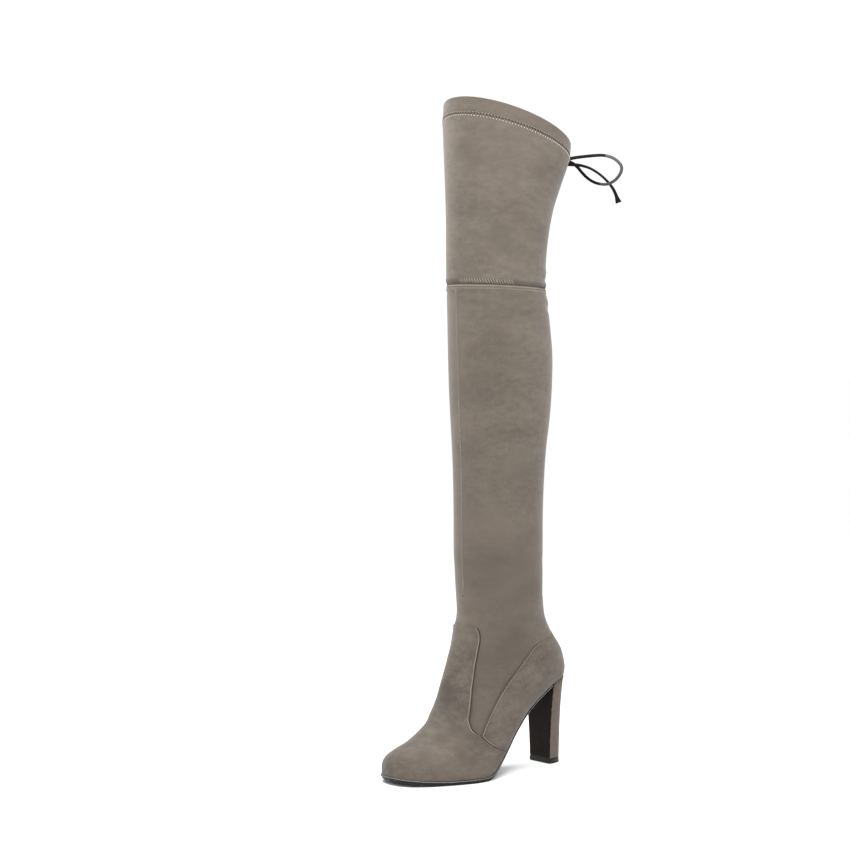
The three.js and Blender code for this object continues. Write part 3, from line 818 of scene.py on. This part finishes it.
def panel_from(name, node, inside):
    """Cuts and finishes a suede panel, and returns its cut edges and its surface for the seams."""
    cloth = wrapped(panel_space)
    cut_to(cloth, inside)
    borders, surface = border_lines(cloth), BVHTree.FromBMesh(cloth)
    panel = piece_from(cloth, name, [node])
    add_modifier(panel, "SOLIDIFY", thickness=(panel_wall + 0.15) * mm, offset=-1)
    round_edges(panel, 0.4, 2, 50)
    print(name, "has cut edges of", [len(line) for line in borders], "points")
    return borders, surface


vamp_borders, vamp_surface = panel_from("vamp_suede", "vamp", vamp_depth)
counter_borders, counter_surface = panel_from("counter_suede", "counter", counter_depth)

# %% [markdown]
# ## Outline of the sole
#
# The sole and the heel follow the edge where the panels meet the sole line. It is read from the
# lifted rings: on each ring, the first point over the sole line on either side.

# %% Feather edge
def feather(side):
    """Fore and offset of the edge on one side, from the heel to the toe tip."""
    edge = []
    half = ring_points // 2
    for ring in panel_space[len(tips) :]:
        order = range(0, half) if side > 0 else range(ring_points, half, -1)
        for k in order:
            point = ring[k % ring_points]
            fore = middle_fore - point[1] / mm
            if point[2] / mm > sole_top(fore) + sole_slack:
                if k not in (0, ring_points):
                    edge.append((fore, point[0] / mm))
                break
    tip = panel_space[0].mean(axis=0)
    edge.append((middle_fore - tip[1] / mm, tip[0] / mm))
    heel = panel_space[:, 0]
    back = max(middle_fore * mm, max(point[1] for point in heel))
    edge.append((middle_fore - back / mm, 0))
    return np.array(sorted(edge))


smoothing = np.array([1, 2, 3, 2, 1]) / 9
heel_points, toe_points = 3, 6  # at both ends of the edge, this many points aren't smoothed


def outline(side, margin):
    """The feather edge moved out by a margin in millimetres, as fore and offset."""
    edge = feather(side)
    along = np.gradient(edge, axis=0)
    along /= np.maximum(np.linalg.norm(along, axis=1, keepdims=True), 1e-9)
    out = np.stack([-along[:, 1], along[:, 0]], axis=1) * side
    moved = edge + out * margin
    moved[-1] = edge[-1] + [margin, 0]
    moved[0] = edge[0] - [margin, 0]
    moved = moved[np.argsort(moved[:, 0])]
    smooth = np.convolve(moved[:, 1], smoothing, "same")
    moved[heel_points:-toe_points, 1] = smooth[heel_points:-toe_points]
    return moved


def outlines(margin):
    """The outline of the outer side and that of the inner side."""
    return outline(1, margin), outline(-1, margin)


print("points on the edge of the sole:", [len(edge) for edge in outlines(0)])

# %% [markdown]
# ## Outsole
#
# A dress boot has a thin sole whose edge stands out a little as a lip, with the tread set in
# under it. Both are plates: a grid is laid on the outline, extruded down and rounded.

# %% Outsole
plate_across, plate_along = 14, 150
plate_start = heel_breast + 0.3


def plate(cloth, margin, top, bottom):
    """Adds a plate on the sole line between two depths, given as shares of its thickness."""
    outer, inner = outlines(margin)
    far = outer[-1][0]
    grid = bmesh.ops.create_grid(cloth, x_segments=plate_across, y_segments=plate_along, size=0.5)
    for vert in grid["verts"]:
        u, v = vert.co.x + 0.5, vert.co.y + 0.5
        fore = between(plate_start, far, math.sin(v * math.pi / 2) ** 0.9)
        left = np.interp(fore, inner[:, 0], inner[:, 1])
        right = np.interp(fore, outer[:, 0], outer[:, 1])
        height = sole_top(fore) - top * sole_depth(fore)
        vert.co = Vector((between(left, right, u), middle_fore - fore, height)) * mm
    faces = dict.fromkeys(face for vert in grid["verts"] for face in vert.link_faces)
    skin = bmesh.ops.extrude_face_region(cloth, geom=list(faces))
    for item in skin["geom"]:
        if isinstance(item, bmesh.types.BMVert):
            fore = middle_fore - item.co.y / mm
            item.co.z = (sole_top(fore) - bottom * sole_depth(fore)) * mm


sole_cloth = bmesh.new()
lip = sole_lip / sole_thickness
plate(sole_cloth, lip_margin, 0, lip)
plate(sole_cloth, tread_margin, lip, 1)
bmesh.ops.remove_doubles(sole_cloth, verts=sole_cloth.verts, dist=0.02 * mm)
sole = piece_from(sole_cloth, "sole_plate", ["outsole"])
round_edges(sole, 0.35, 2, 50)
print("sole:", len(sole.data.polygons), "faces")

# %% [markdown]
# ## Heel
#
# The block heel has a D section: flat in front, round behind, narrow at the floor and as wide
# as the seat at the top. A grid is wrapped round rings of that section. Each column stops where it
# meets the sole line, so the top fits the seat without a cut.

# %% Heel block
heel_rows = smooth_rows([(0, 0), (0.3, 0.13), (0.6, 0.36), (0.82, 0.68), (0.94, 0.9), (1.08, 1.06)], 8)


def heel_tip(angle):
    """Fore and offset on the heel's outline at the floor."""
    side = math.cos(angle)
    fore = heel_tip_fore + heel_tip_depth * (1 - max(math.sin(angle), 0) ** heel_squareness)
    return fore, math.copysign(heel_tip_width / 2 * abs(side) ** heel_squareness, side)


heel_proud = 0.8  # the cover stands this far past the edge of the seat
heel_outer, heel_inner = outlines(heel_proud)
breast_facing = 0.93  # the breast is where the heel faces forward at least this squarely


def heel_seat(angle):
    """Fore and offset on the heel's outline at the seat."""
    back = heel_outer[0][0]
    fore = between(heel_breast, back, max(math.sin(angle), 0) ** heel_squareness)
    edge = heel_outer if math.cos(angle) > 0 else heel_inner
    return fore, float(np.interp(fore, edge[:, 0], edge[:, 1]))


def heel_column(tip, seat, levels, foot):
    """Points up one column of the heel, from the top lift to the sole line."""
    rise = np.linspace(0, 1.05, 200)
    spread = np.interp(rise, heel_rows[:, 0], heel_rows[:, 1])
    fore = between(tip[0], seat[0], spread)
    across = between(tip[1], seat[1], spread)
    height = between(foot, seat_height, rise)
    stop = np.argmax(height > sole_top(fore) - 0.05)
    pick = np.linspace(0, stop if stop else len(rise) - 1, levels).astype(int)
    return np.stack([across[pick], fore[pick], height[pick]], axis=1)


back_steps, front_steps, heel_levels = 56, 18, 34
angles = [math.pi * k / back_steps for k in range(back_steps + 1)]
columns = [np.array([heel_tip(angle), heel_seat(angle)]) for angle in angles]
columns += [between(columns[-1], columns[0], k / front_steps) for k in range(1, front_steps)]


def closed_shape(points):
    """A closed shape with its faces outwards, from columns of across, fore and height."""
    cloth = wrapped(rings_to_space(np.stack(points, axis=1)))
    close_ends(cloth)
    bmesh.ops.recalc_face_normals(cloth, faces=cloth.faces)
    return cloth


heel_cloth = closed_shape(
    [heel_column(tip, seat, heel_levels, top_lift + 0.15) for tip, seat in columns]
)
# Faces of the breast take the second, near-black colour.
for face in heel_cloth.faces:
    face.material_index = int(face.normal.y < -breast_facing)
heel = piece_from(heel_cloth, "heel_cover", ["heel_block"])
round_edges(heel, 0.8, 3, 60)
lift_cloth = closed_shape([[(across, fore, 0), (across, fore, top_lift)] for (fore, across), _ in columns])
heel_lift = piece_from(lift_cloth, "top_lift_rubber", ["top_lift"])
round_edges(heel_lift, 0.5, 3, 50)
print("heel:", len(heel.data.polygons), "faces")

# %% [markdown]
# ## Seams
#
# Three things show at a seam: the folded edge of the panel, which is a soft bead that catches the
# light, the dark gap beside it, and the thread. Bead and gap are thin cords laid along the edge:
# the bead is coloured lighter than the suede as a painted highlight, and the gap is a dark cord of
# painted shade.
# Thread could be painted, but near a seam the light catches each stitch, so a stitch is a small
# grain made from a sphere operator. Operators get slow on a large mesh, so the grains are made in
# small batches and then joined.

# %% Lines on the cloth
def even_line(line, pitch):
    """Points and normals at even distances along a line of points and normals."""
    points = np.array([point for point, normal in line])
    normals = np.array([normal for point, normal in line])
    length = np.append(0, np.cumsum(np.linalg.norm(np.diff(points, axis=0), axis=1)))
    even = np.arange(pitch / 2, length[-1], pitch)
    places = np.array([np.interp(even, length, points[:, k]) for k in range(3)]).T
    ways = np.array([np.interp(even, length, normals[:, k]) for k in range(3)]).T
    return [(Vector(place), Vector(way).normalized()) for place, way in zip(places, ways)]


def raised(line, lift):
    """A line moved off the surface by a distance in millimetres."""
    return [(point + normal * (lift * mm), normal) for point, normal in line]


def on_ring(space, normals, row, start=0.0, stop=1.0):
    """Points and normals round a stack of rings, where row(k) gives the place between rings."""
    line = []
    for k in np.linspace(start, stop, ring_points + 1) * ring_points:
        i = row(k) if callable(row) else row
        low, share = int(i), i - int(i)
        high, left = min(low + 1, len(space) - 1), int(k) % ring_points
        right, along = (left + 1) % ring_points, k - int(k)
        point, normal = (
            between(
                between(grid[low, left], grid[high, left], share),
                between(grid[low, right], grid[high, right], share),
                along,
            )
            for grid in (space, normals)
        )
        line.append((Vector(point), Vector(normal)))
    return line


def up_column(space, normals, k, first, last):
    """Points and normals up the rings, at a place round them."""
    left, share = int(k) % ring_points, k - int(k)
    right = (left + 1) % ring_points
    return [
        tuple(Vector(between(grid[i, left], grid[i, right], share)) for grid in (space, normals))
        for i in range(first, last + 1)
    ]


def inset(line, tree, distance):
    """A panel's edge moved into the panel by a distance in millimetres, along its surface."""
    moved = []
    for k, (point, normal) in enumerate(line):
        before, after = line[max(k - 2, 0)][0], line[min(k + 2, len(line) - 1)][0]
        sideways = normal.cross(after - before).normalized() * (abs(distance) * mm)
        choices = [tree.find_nearest(point + way) + (way,) for way in (sideways, -sideways)]
        place, way, _, _, shift = min(choices, key=lambda found: found[3])
        if distance < 0:
            place, way = point - shift, normal
        moved.append((place, way if way.dot(normal) > 0 else -way))
    return moved


# %% Beads and stitches
batch = 24
bead_pitch, bead_segments = 2.0 * mm, 8
thread_lift, gap_lift = 0.2 * mm, 0.05 * mm


def join(cloth, part):
    """Adds one cloth to another and frees it."""
    mesh = bpy.data.meshes.new("part")
    part.to_mesh(mesh)
    part.free()
    cloth.from_mesh(mesh)
    bpy.data.meshes.remove(mesh)


def add_beads(name, lines, width, height):
    """Thin cords laid along lines, as one piece."""
    cloth = bmesh.new()
    for line in lines:
        path, ways = zip(*even_line(line, bead_pitch))
        part = add_tube(bmesh.new(), path, ways, height * mm, width * mm, segments=bead_segments)
        bmesh.ops.recalc_face_normals(part, faces=part.faces)
        join(cloth, part)
    piece_from(cloth, name, recalculate=False)


def add_stitches(name, grains, width):
    """Thin grains, each from one point to another, as one piece."""
    cloth = bmesh.new()
    for first in range(0, len(grains), batch):
        part = bmesh.new()
        for start, end in grains[first : first + batch]:
            along = end - start
            spin = along.to_track_quat("Z", "Y").to_matrix().to_4x4()
            size = Matrix.Diagonal((width * mm / 2, width * mm / 2, along.length / 2, 1))
            place = Matrix.Translation((start + end) / 2) @ spin @ size
            bmesh.ops.create_uvsphere(part, u_segments=6, v_segments=5, radius=1, matrix=place)
        join(cloth, part)
    print(name, "has", len(grains), "stitches")
    piece_from(cloth, name, recalculate=False)


def running(lines, pitch, share=0.62):
    """Stitches along lines and the gaps between them."""
    threads, gaps = [], []
    for line in lines:
        points = even_line(line, pitch * mm)
        for (here, up), (there, _) in zip(points, points[1:]):
            meeting = here.lerp(there, share)
            threads.append((here + up * thread_lift, meeting + up * thread_lift))
            gaps.append((meeting, there))
    return threads, gaps


def slanted(upper, lower, pitch, lean):
    """Stitches across from one line to another, in turn with the gaps between them."""
    top, bottom = even_line(upper, pitch / 2 * mm), even_line(lower, pitch / 2 * mm)
    threads, gaps = [], []
    for k in range(len(top) - 1):
        (here, up), (there, down) = top[k], bottom[min(k * len(bottom) // len(top), len(bottom) - 1)]
        drift = (top[k + 1][0] - here) * lean
        lift = thread_lift if k % 2 else gap_lift
        grain = (here + drift + up * lift, there - drift + down * lift)
        (threads if k % 2 else gaps).append(grain)
    return threads, gaps


def sew(name, threads, gaps, thread_width, gap_width):
    """The light grains of the thread and the dark grains of painted shade in the needle holes of a seam, as
    two pieces.
    """
    add_stitches(f"{name}_stitches", threads, thread_width)
    add_stitches(f"{name}_needle_gaps", gaps, gap_width)


# %% Hem
lower_normals, thigh_normals = normals_of(lower_space), normals_of(thigh_space)
ring_step = 2.27  # distance from one ring to the next near the hem
back_rise = 4  # the hem's line lies this much nearer to the edge at the back
slit_share = 0.018  # the stitches stop at the slit
hem_pitch, hem_lean = 3.1, 0.25


def hem_row(offset):
    """The place of the hem's stitches round the ring, moved up by an offset."""
    def row(k):
        backwards = (1 + math.cos(2 * math.pi * k / ring_points)) / 2
        return hem_ring + (back_rise * backwards + offset) / ring_step
    return row


hem_upper, hem_middle, hem_lower = (
    on_ring(thigh_space, thigh_normals, hem_row(offset), slit_share, 1 - slit_share)
    for offset in (1.8, 0, -1.8)
)
dots, _ = running([hem_upper], hem_pitch, 0.3)
_, slits = slanted(hem_upper, hem_middle, hem_pitch, hem_lean)
threads, _ = slanted(hem_middle, hem_lower, hem_pitch, hem_lean)
sew("hem", threads, slits, thread_width=0.8, gap_width=0.95)
add_stitches("hem_upper_stitches", dots, 0.5)

# %% Knee seam
outer_front = (0.3, 0.49)  # the light stitches show on this stretch of the ring


def under_knee(rings_down):
    """A line round the upper, so many rings under the knee's seam."""
    return on_ring(lower_space, lower_normals, len(lower_space) - 1 - rings_down)


def over_knee(*stretch):
    """The two lines that the stitches over the knee's seam go between."""
    return [on_ring(thigh_space, thigh_normals, row, *stretch) for row in (1.9, 0.15)]


# The knee's dark shade cord is painted shade, and the light fold bead under it is a painted highlight.
add_beads("knee_shade", [raised(under_knee(0.0), 0.1)], 0.8, 0.8)
add_beads("knee_fold", [under_knee(0.75)], 0.9, 0.9)
_, gaps = slanted(*over_knee(), 2.1, 0.9)
add_stitches("knee_needle_gaps", gaps, 0.5)
threads, _ = slanted(*over_knee(*outer_front), 2.6, 0.6)
add_stitches("knee_stitches", threads, 0.42)
sew("knee_lower", *running([under_knee(1.7)], 2.3, 0.5), thread_width=0.5, gap_width=0.45)

# %% Front and back seams
instep_ring = foot_ring_count - 12  # both seams start above this ring, at their own heights
for name, k, seam_bottom in (("front", ring_points // 2, 150), ("back", 0, 135)):
    first = instep_ring + np.argmax(lower_space[instep_ring:, k, 2] > seam_bottom * mm)
    sides = [
        up_column(lower_space, lower_normals, (k + shift) % ring_points, first, len(lower_space) - 3)
        for shift in (0.8, -0.8)
    ]
    sew(f"{name}_seam", *slanted(*sides, 2.2, 0.9), thread_width=0.5, gap_width=0.8)

# %% Panel edges
shortest_run = 10
first_row, second_row = 1.9, 4.0  # distance of the rows of stitches from a panel's edge


def stretches(lines, low, high, off_middle=0):
    """The stretches of lines between two heights, and at least so far from the boot's middle."""
    found = []
    for line in lines:
        run = []
        for place in line + [None]:
            if place and low < place[0].z / mm < high and abs(place[0].x) / mm >= off_middle:
                run.append(place)
                continue
            if len(run) > shortest_run:
                found.append(run)
            run = []
    return found


def beside(lines, surface, distance, lift=0):
    """Lines at a distance into a panel from its edges, or off it, and raised by a lift."""
    return [raised(inset(line, surface, distance), lift) for line in lines]


deep_edge = stretches(vamp_borders, 46, 143, 12.5)
# The fold bead is raised like the real folded edge and coloured lighter as a painted highlight.
add_beads("vamp_fold", beside(deep_edge, vamp_surface, 0.75, -0.05), 1.15, 1.0)
# The groove cord beside the vamp's edge is dark painted shade.
add_beads("vamp_groove", beside(deep_edge, vamp_surface, -0.4, -0.4), 1.0, 1.1)
low_edge = stretches(vamp_borders, 0, 47)
# The dark grains just outside the low edge of the vamp are painted shade of its groove.
_, gaps = running(beside(low_edge, vamp_surface, -0.1, -0.35), 2.4, 0.5)
add_stitches("low_vamp_needle_gaps", gaps, 0.6)
vamp_rows = [row for at in (first_row, second_row) for row in beside(vamp_borders, vamp_surface, at)]
sew("vamp", *running(vamp_rows, 2.0), thread_width=0.5, gap_width=0.5)
side_edge = stretches(counter_borders, 30, 124)
add_beads("counter_fold", beside(side_edge, counter_surface, 0.6, -0.05), 1.0, 0.9)
# The dark grains just outside the counter's edge are painted shade of its groove.
_, gaps = running(beside(side_edge, counter_surface, -0.4, -0.4), 2.6, 0.5)
add_stitches("counter_needle_gaps", gaps, 0.7)
counter_row = beside(counter_borders, counter_surface, first_row)
sew("counter_thread", *running(counter_row, 2.0), thread_width=0.4, gap_width=0.4)

# %% Edge of the sole and seam of the heel
def along_sole(margin, below, places):
    """A line up one side of the sole's edge and back down the other, at the places' lengths."""
    sides = []
    for edge in outlines(margin):
        fore = places(edge)
        across = np.interp(fore, edge[:, 0], edge[:, 1])
        sides.append(np.stack([across, middle_fore - fore, sole_top(fore) - below], axis=1) * mm)
    outer, inner = sides
    return [(Vector(point), Vector((0, 0, 1))) for point in np.vstack([inner, outer[::-1]])]


def round_toe(edge):
    """Lengths along the foot from near the heel's breast to the toe."""
    return np.linspace(heel_breast + 3, edge[-1][0], 160)


def round_heel(edge):
    """Lengths along the foot from the heel's breast to its back, closer together at the back."""
    return between(heel_breast, edge[0][0], np.sin(np.linspace(0, math.pi / 2, 60)))


# The grey line along the edge of the sole is a painted reflection.
add_beads("sole_edge_line", [along_sole(0.75, 0.05, round_toe)], 0.7, 0.7)
# The heel's groove cord is dark painted shade, and the light fold bead over it is a painted highlight.
add_beads("heel_groove", [along_sole(heel_proud - 0.1, 0.2, round_heel)], 0.6, 0.5)
add_beads("heel_fold", [along_sole(heel_proud - 0.2, -0.5, round_heel)], 0.7, 0.6)

# %% [markdown]
# ## Finishes
#
# Shader maths reads best as plain expressions. This small class wraps a socket, and each sum or
# product on it adds its Math node. A second class holds one material and adds its nodes.

# %% Nodes as expressions
bump_strength = 0.6


class Wire:
    """A socket that can stand in an expression."""

    def __init__(self, finish, socket):
        self.finish = finish
        self.socket = socket

    def maths(self, operation, first, second):
        return self.finish.node("ShaderNodeMath", {"operation": operation}, {0: first, 1: second})

    def __add__(self, other):
        return self.maths("ADD", self, other)

    __radd__ = __add__

    def __sub__(self, other):
        return self.maths("SUBTRACT", self, other)

    def __rsub__(self, other):
        return self.maths("SUBTRACT", other, self)

    def __mul__(self, other):
        return self.maths("MULTIPLY", self, other)

    __rmul__ = __mul__


class Finish:
    """A material with one Principled shader."""

    def __init__(self, name, **settings):
        self.material = bpy.data.materials.new(name)
        self.material.use_nodes = True
        self.tree = self.material.node_tree
        self.shader = self.tree.nodes["Principled BSDF"]
        for socket, value in settings.items():
            self.put(self.shader.inputs[socket.replace("_", " ").title().replace("Ior", "IOR")], value)
        self.place = self.node("ShaderNodeTexCoord", output="Object")

    def put(self, socket, value):
        if isinstance(value, Wire):
            self.tree.links.new(value.socket, socket)
        elif socket.type == "RGBA":
            socket.default_value = (*value, 1)
        else:
            socket.default_value = value

    def node(self, kind, settings=None, inputs=None, output=0):
        made = self.tree.nodes.new(kind)
        for setting, value in (settings or {}).items():
            setattr(made, setting, value)
        for socket, value in (inputs or {}).items():
            self.put(made.inputs[socket], value)
        return Wire(self, made.outputs[output])

    def vectors(self, operation, other, output=0):
        """Vector maths on the place in the boot's own space."""
        settings = {"operation": operation}
        return self.node("ShaderNodeVectorMath", settings, {0: self.place, 1: other}, output)

    def noise(self, size, detail=2.0, stretch=(1, 1, 1), roughness=0.5):
        """Soft noise with features of about that size in metres, from 0 to 1."""
        scaled = self.vectors("MULTIPLY", stretch)
        inputs = {"Vector": scaled, "Scale": 1 / size, "Detail": detail, "Roughness": roughness}
        return self.node("ShaderNodeTexNoise", inputs=inputs)

    def spread(self, value, low, high):
        """A value from low to high stretched to 0 to 1, and held there."""
        return self.node("ShaderNodeMapRange", inputs={"Value": value, "From Min": low, "From Max": high})

    def blend(self, share, first, second):
        """A colour between two colours."""
        return self.node("ShaderNodeMix", {"data_type": "RGBA"}, {0: share, 6: first, 7: second}, 2)

    def show(self, colour, height, distance):
        """Feeds a colour and the height of a relief to the shader."""
        inputs = {"Height": height, "Distance": distance, "Strength": bump_strength}
        self.put(self.shader.inputs["Base Color"], colour)
        self.put(self.shader.inputs["Normal"], self.node("ShaderNodeBump", inputs=inputs))


# %% [markdown]
# Faux suede has no gloss. Its short fibres catch the light at the rim, which a little sheen
# gives, and they lie this way and that, which shows as soft lighter and darker patches, wider
# than tall where a hand stroked round the leg. Darker spots are listed one by one: most are rubbed
# spots, but the two widest, low on the outer side of the foot and ankle, are painted shade where
# less light reaches. Each is a soft ball in the boot's own space, so it stays where it is put from
# any side.

# %% Suede
light_suede = (0.152, 0.129, 0.106)
dark_suede = (0.078, 0.065, 0.053)
warm_suede = (0.129, 0.103, 0.085)

# the folded collar is darker over the slanting plane of the hem's line
fold_front, fold_back = (Vector(thigh_space[hem_ring, k]) for k in (ring_points // 2, 0))
fold_slope = (fold_front.z - fold_back.z) / (fold_front.y - fold_back.y)
fold_up = (0, -fold_slope, 1)
fold_level = fold_front.z - fold_slope * fold_front.y
fold_fade = 3 * mm
patch_size, tuft_size, fibre_size, hue_size = 0.042, 0.0075, 0.0017, 0.07


def suede(name, patch, grain, base_tone, marks, fold=0.0):
    """A napped cloth with patches, fibres and darker spots (rubbed spots and painted shade), darker on the
    fold by that much.
    """
    finish = Finish(name, roughness=0.95, sheen_weight=0.2, sheen_roughness=0.4, specular_ior_level=0.15)
    wide = finish.spread(finish.noise(patch_size, 3.0, (0.8, 0.8, 1.5)), 0.34, 0.66)
    small = finish.spread(finish.noise(tuft_size, 4.0, (0.8, 0.8, 1.6), 0.6), 0.32, 0.68)
    fibre = finish.noise(fibre_size, 3.0, (1, 1, 0.7), 0.65)
    tone = base_tone + (wide - 0.5) * (0.42 * patch) + (small - 0.5) * (0.38 * patch)
    tone = tone + (fibre - 0.5) * (0.9 * grain)
    broken = finish.spread(small + (fibre - 0.5) * 1.2, 0.0, 0.9)
    for across, fore, height, size, depth in marks:
        centre = (across * mm, (middle_fore - fore) * mm, height * mm)
        away_from = finish.vectors("DISTANCE", centre, "Value")
        near = 1 - finish.spread(away_from, 0.2 * size * mm, size * mm)
        tone = tone - near * broken * depth
    level = finish.vectors("DOT_PRODUCT", fold_up, "Value")
    tone = tone - finish.spread(level, fold_level, fold_level + fold_fade) * fold
    tone = finish.spread(tone, 0.0, 1.0)
    hue = finish.spread(finish.noise(hue_size), 0.4, 0.65)
    cloth = finish.blend(tone, dark_suede, light_suede)
    finish.show(finish.blend(hue * 0.35, cloth, warm_suede), fibre * 0.8 + small * 0.6, 0.0005 * grain)
    return finish.material


# Each mark is a place as across, fore and height, its radius, and how much darker it is
shaft_marks = [
    (9, 131, 597, 14, 0.5), (20, 126, 587, 12, 0.4), (50, 70, 578, 14, 0.4), (36, 108, 514, 20, 0.35),
    (36, 107, 427, 22, 0.2), (40, 84, 294, 26, 0.2), (20, 117, 246, 18, 0.15), (34, 98, 208, 24, 0.2),
    # these two wide spots low on the outer side are painted shade, darker where the foot and ankle get less
    # light
    (36, 95, 75, 80, 0.6), (36, 80, 190, 90, 0.25),
]
foot_marks = [
    (-6, 138, 86, 9, 0.7), (-4, 139, 74, 7, 0.4), (10, 159, 41, 11, 0.5), (-16, 178, 33, 10, 0.6),
    (33, 153, 27, 8, 0.6), (38, 144, 21, 7, 0.6), (16, 183, 27, 9, 0.4), (37, 107, 16, 12, 0.4),
    (-22, 145, 53, 10, 0.4),
]
stretch_suede = suede("stretch suede", 0.85, 0.5, 0.52, shaft_marks, fold=0.3)
# The panels' base tone is set lower than the stretch suede's as painted shade, since the foot gets less
# light than the leg.
panel_suede = suede("panel suede", 1.15, 0.7, 0.27, foot_marks)

# %% Other cloths and rubber
def plain_cloth(name, light, dark, size, relief, **settings):
    """A cloth or rubber with a fine even grain, whose size and relief are in millimetres."""
    finish = Finish(name, **settings)
    grain = finish.noise(size * mm, 3.0)
    soft = finish.noise(size * mm * 18)
    tone = finish.spread(grain * 0.6 + soft * 0.6, 0.35, 0.85)
    finish.show(finish.blend(tone, dark, light), grain, relief * mm)
    return finish.material


lining_cloth = plain_cloth("lining", (0.2, 0.17, 0.14), (0.14, 0.12, 0.1), 0.9, 0.15, roughness=0.9)
sole_rubber = plain_cloth(
    "sole rubber", (0.012, 0.0115, 0.011), (0.006, 0.006, 0.0055), 1.2, 0.04,
    roughness=0.4, specular_ior_level=0.22,
)
# Painted reflection: a grey colour for the gloss along the lip of the black sole.
painted_sole_reflection = plain_cloth("sole painted reflection", (0.22, 0.21, 0.2), (0.06, 0.058, 0.056), 6, 0.04, roughness=0.35)
# The breast of the heel is given a near-black colour, far darker than the suede of its sides.
near_black_breast = plain_cloth(
    "heel breast", (0.016, 0.012, 0.0095), (0.007, 0.0055, 0.0045), 1.1, 0.08,
    roughness=0.7, specular_ior_level=0.1,
)
lace_cord = plain_cloth(
    "lace", (0.009, 0.0085, 0.008), (0.003, 0.003, 0.0028), 0.6, 0.2, roughness=0.8, specular_ior_level=0.1
)
# Painted highlight: a paler grey for the loops' outer turns, where the flat cord catches the light.
lace_painted_highlight = plain_cloth("worn lace", (0.075, 0.071, 0.066), (0.03, 0.028, 0.026), 0.8, 0.2, roughness=0.85)
soft_shade = plain_cloth("soft shade", (0.07, 0.058, 0.047), (0.045, 0.036, 0.03), 1.2, 0.1, roughness=0.95)
light_thread = plain_cloth("light thread", (0.5, 0.45, 0.38), (0.34, 0.3, 0.25), 0.8, 0.1, roughness=0.8)
# Painted highlight: the fold beads are coloured lighter than the suede, for the light caught along a
# panel's folded edge.
fold_highlight_cloth = plain_cloth("fold", (0.23, 0.2, 0.166), (0.14, 0.12, 0.1), 1.2, 0.15, roughness=0.9)
# Painted shade: a near-black colour for the needle holes of every seam and for the groove cords beside the
# vamp's edge and the heel's seam.
painted_seam_shade = plain_cloth("seam gap", (0.035, 0.028, 0.022), (0.02, 0.016, 0.012), 0.8, 0.1, roughness=0.95)

# %% Giving the finishes
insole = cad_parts["insole"]
insole.data.materials.clear()
finishes = {
    "stretch_upper": [stretch_suede, lining_cloth],
    "thigh_cloth": [stretch_suede, lining_cloth],
    "vamp_suede": [panel_suede],
    "counter_suede": [panel_suede],
    "heel_cover": [panel_suede, near_black_breast],
    "sole_plate": [sole_rubber],
    "top_lift_rubber": [sole_rubber],
    "sole_edge_line": [painted_sole_reflection],
    insole.name: [lining_cloth],
    "stitches": [light_thread],
    "gaps": [painted_seam_shade],
    "groove": [painted_seam_shade],
    "fold": [fold_highlight_cloth],
    "shade": [soft_shade],
}
lace_finish = [lace_cord, lace_painted_highlight]
highlight_from = 48 * mm  # a loop is painted paler farther than this from the knot, as a painted highlight at its outer turn
pieces = [piece for piece in bpy.data.objects if piece.type == "MESH" and not piece.hide_render]
for piece in pieces:
    kind = piece.name.split("_")[-1]
    for material in finishes.get(piece.name) or finishes.get(kind, lace_finish):
        piece.data.materials.append(material)
    # Faces of a loop far from the knot take the painted highlight colour.
    if piece.name.startswith("lace_loop"):
        for face in piece.data.polygons:
            face.material_index = int((face.center - knot_middle).length > highlight_from)
print(len(pieces), "pieces have a finish")

# %% [markdown]
# ## Floor and light
#
# A product photo has a white sweep. Here the floor is a wide pale plane and the world is white
# too. The main light is a soft box over the top of the boot, so the thigh is lighter than the
# ankle, and a second one from the left draws the thin light rim along the shin.

# %% Stage
floor_cloth = bmesh.new()
bmesh.ops.create_grid(floor_cloth, x_segments=2, y_segments=2, size=40)
floor_mesh = bpy.data.meshes.new("floor")
floor_cloth.to_mesh(floor_mesh)
floor_cloth.free()
floor = bpy.data.objects.new("floor", floor_mesh)
bpy.context.collection.objects.link(floor)
floor_finish = Finish("floor", base_color=(0.95, 0.95, 0.95), roughness=0.9, specular_ior_level=0.0)
floor.data.materials.append(floor_finish.material)

world = bpy.data.worlds.new("studio")
bpy.context.scene.world = world
world.use_nodes = True
sky = world.node_tree.nodes["Background"].inputs
sky["Color"].default_value = (1, 1, 1, 1)
sky["Strength"].default_value = 1.05


light_aim = Vector((0, 0, 0.4))


def soft_light(name, bearing, out, height, size, power):
    """A square soft box at a bearing from the toe towards the outer side, aimed at the leg."""
    turn = math.radians(bearing)
    data = bpy.data.lights.new(name, "AREA")
    data.shape = "SQUARE"
    data.size = size
    data.energy = power
    light = bpy.data.objects.new(name, data)
    light.location = (math.sin(turn) * out, -math.cos(turn) * out, height)
    light.rotation_euler = (light.location - light_aim).to_track_quat("Z", "Y").to_euler()
    light.visible_camera = False
    bpy.context.collection.objects.link(light)


soft_light("key", 70, 0.45, 1.1, 0.5, 9)
soft_light("rim", -58, 0.5, 1.0, 0.4, 8)
bpy.context.scene.view_settings.view_transform = "Standard"
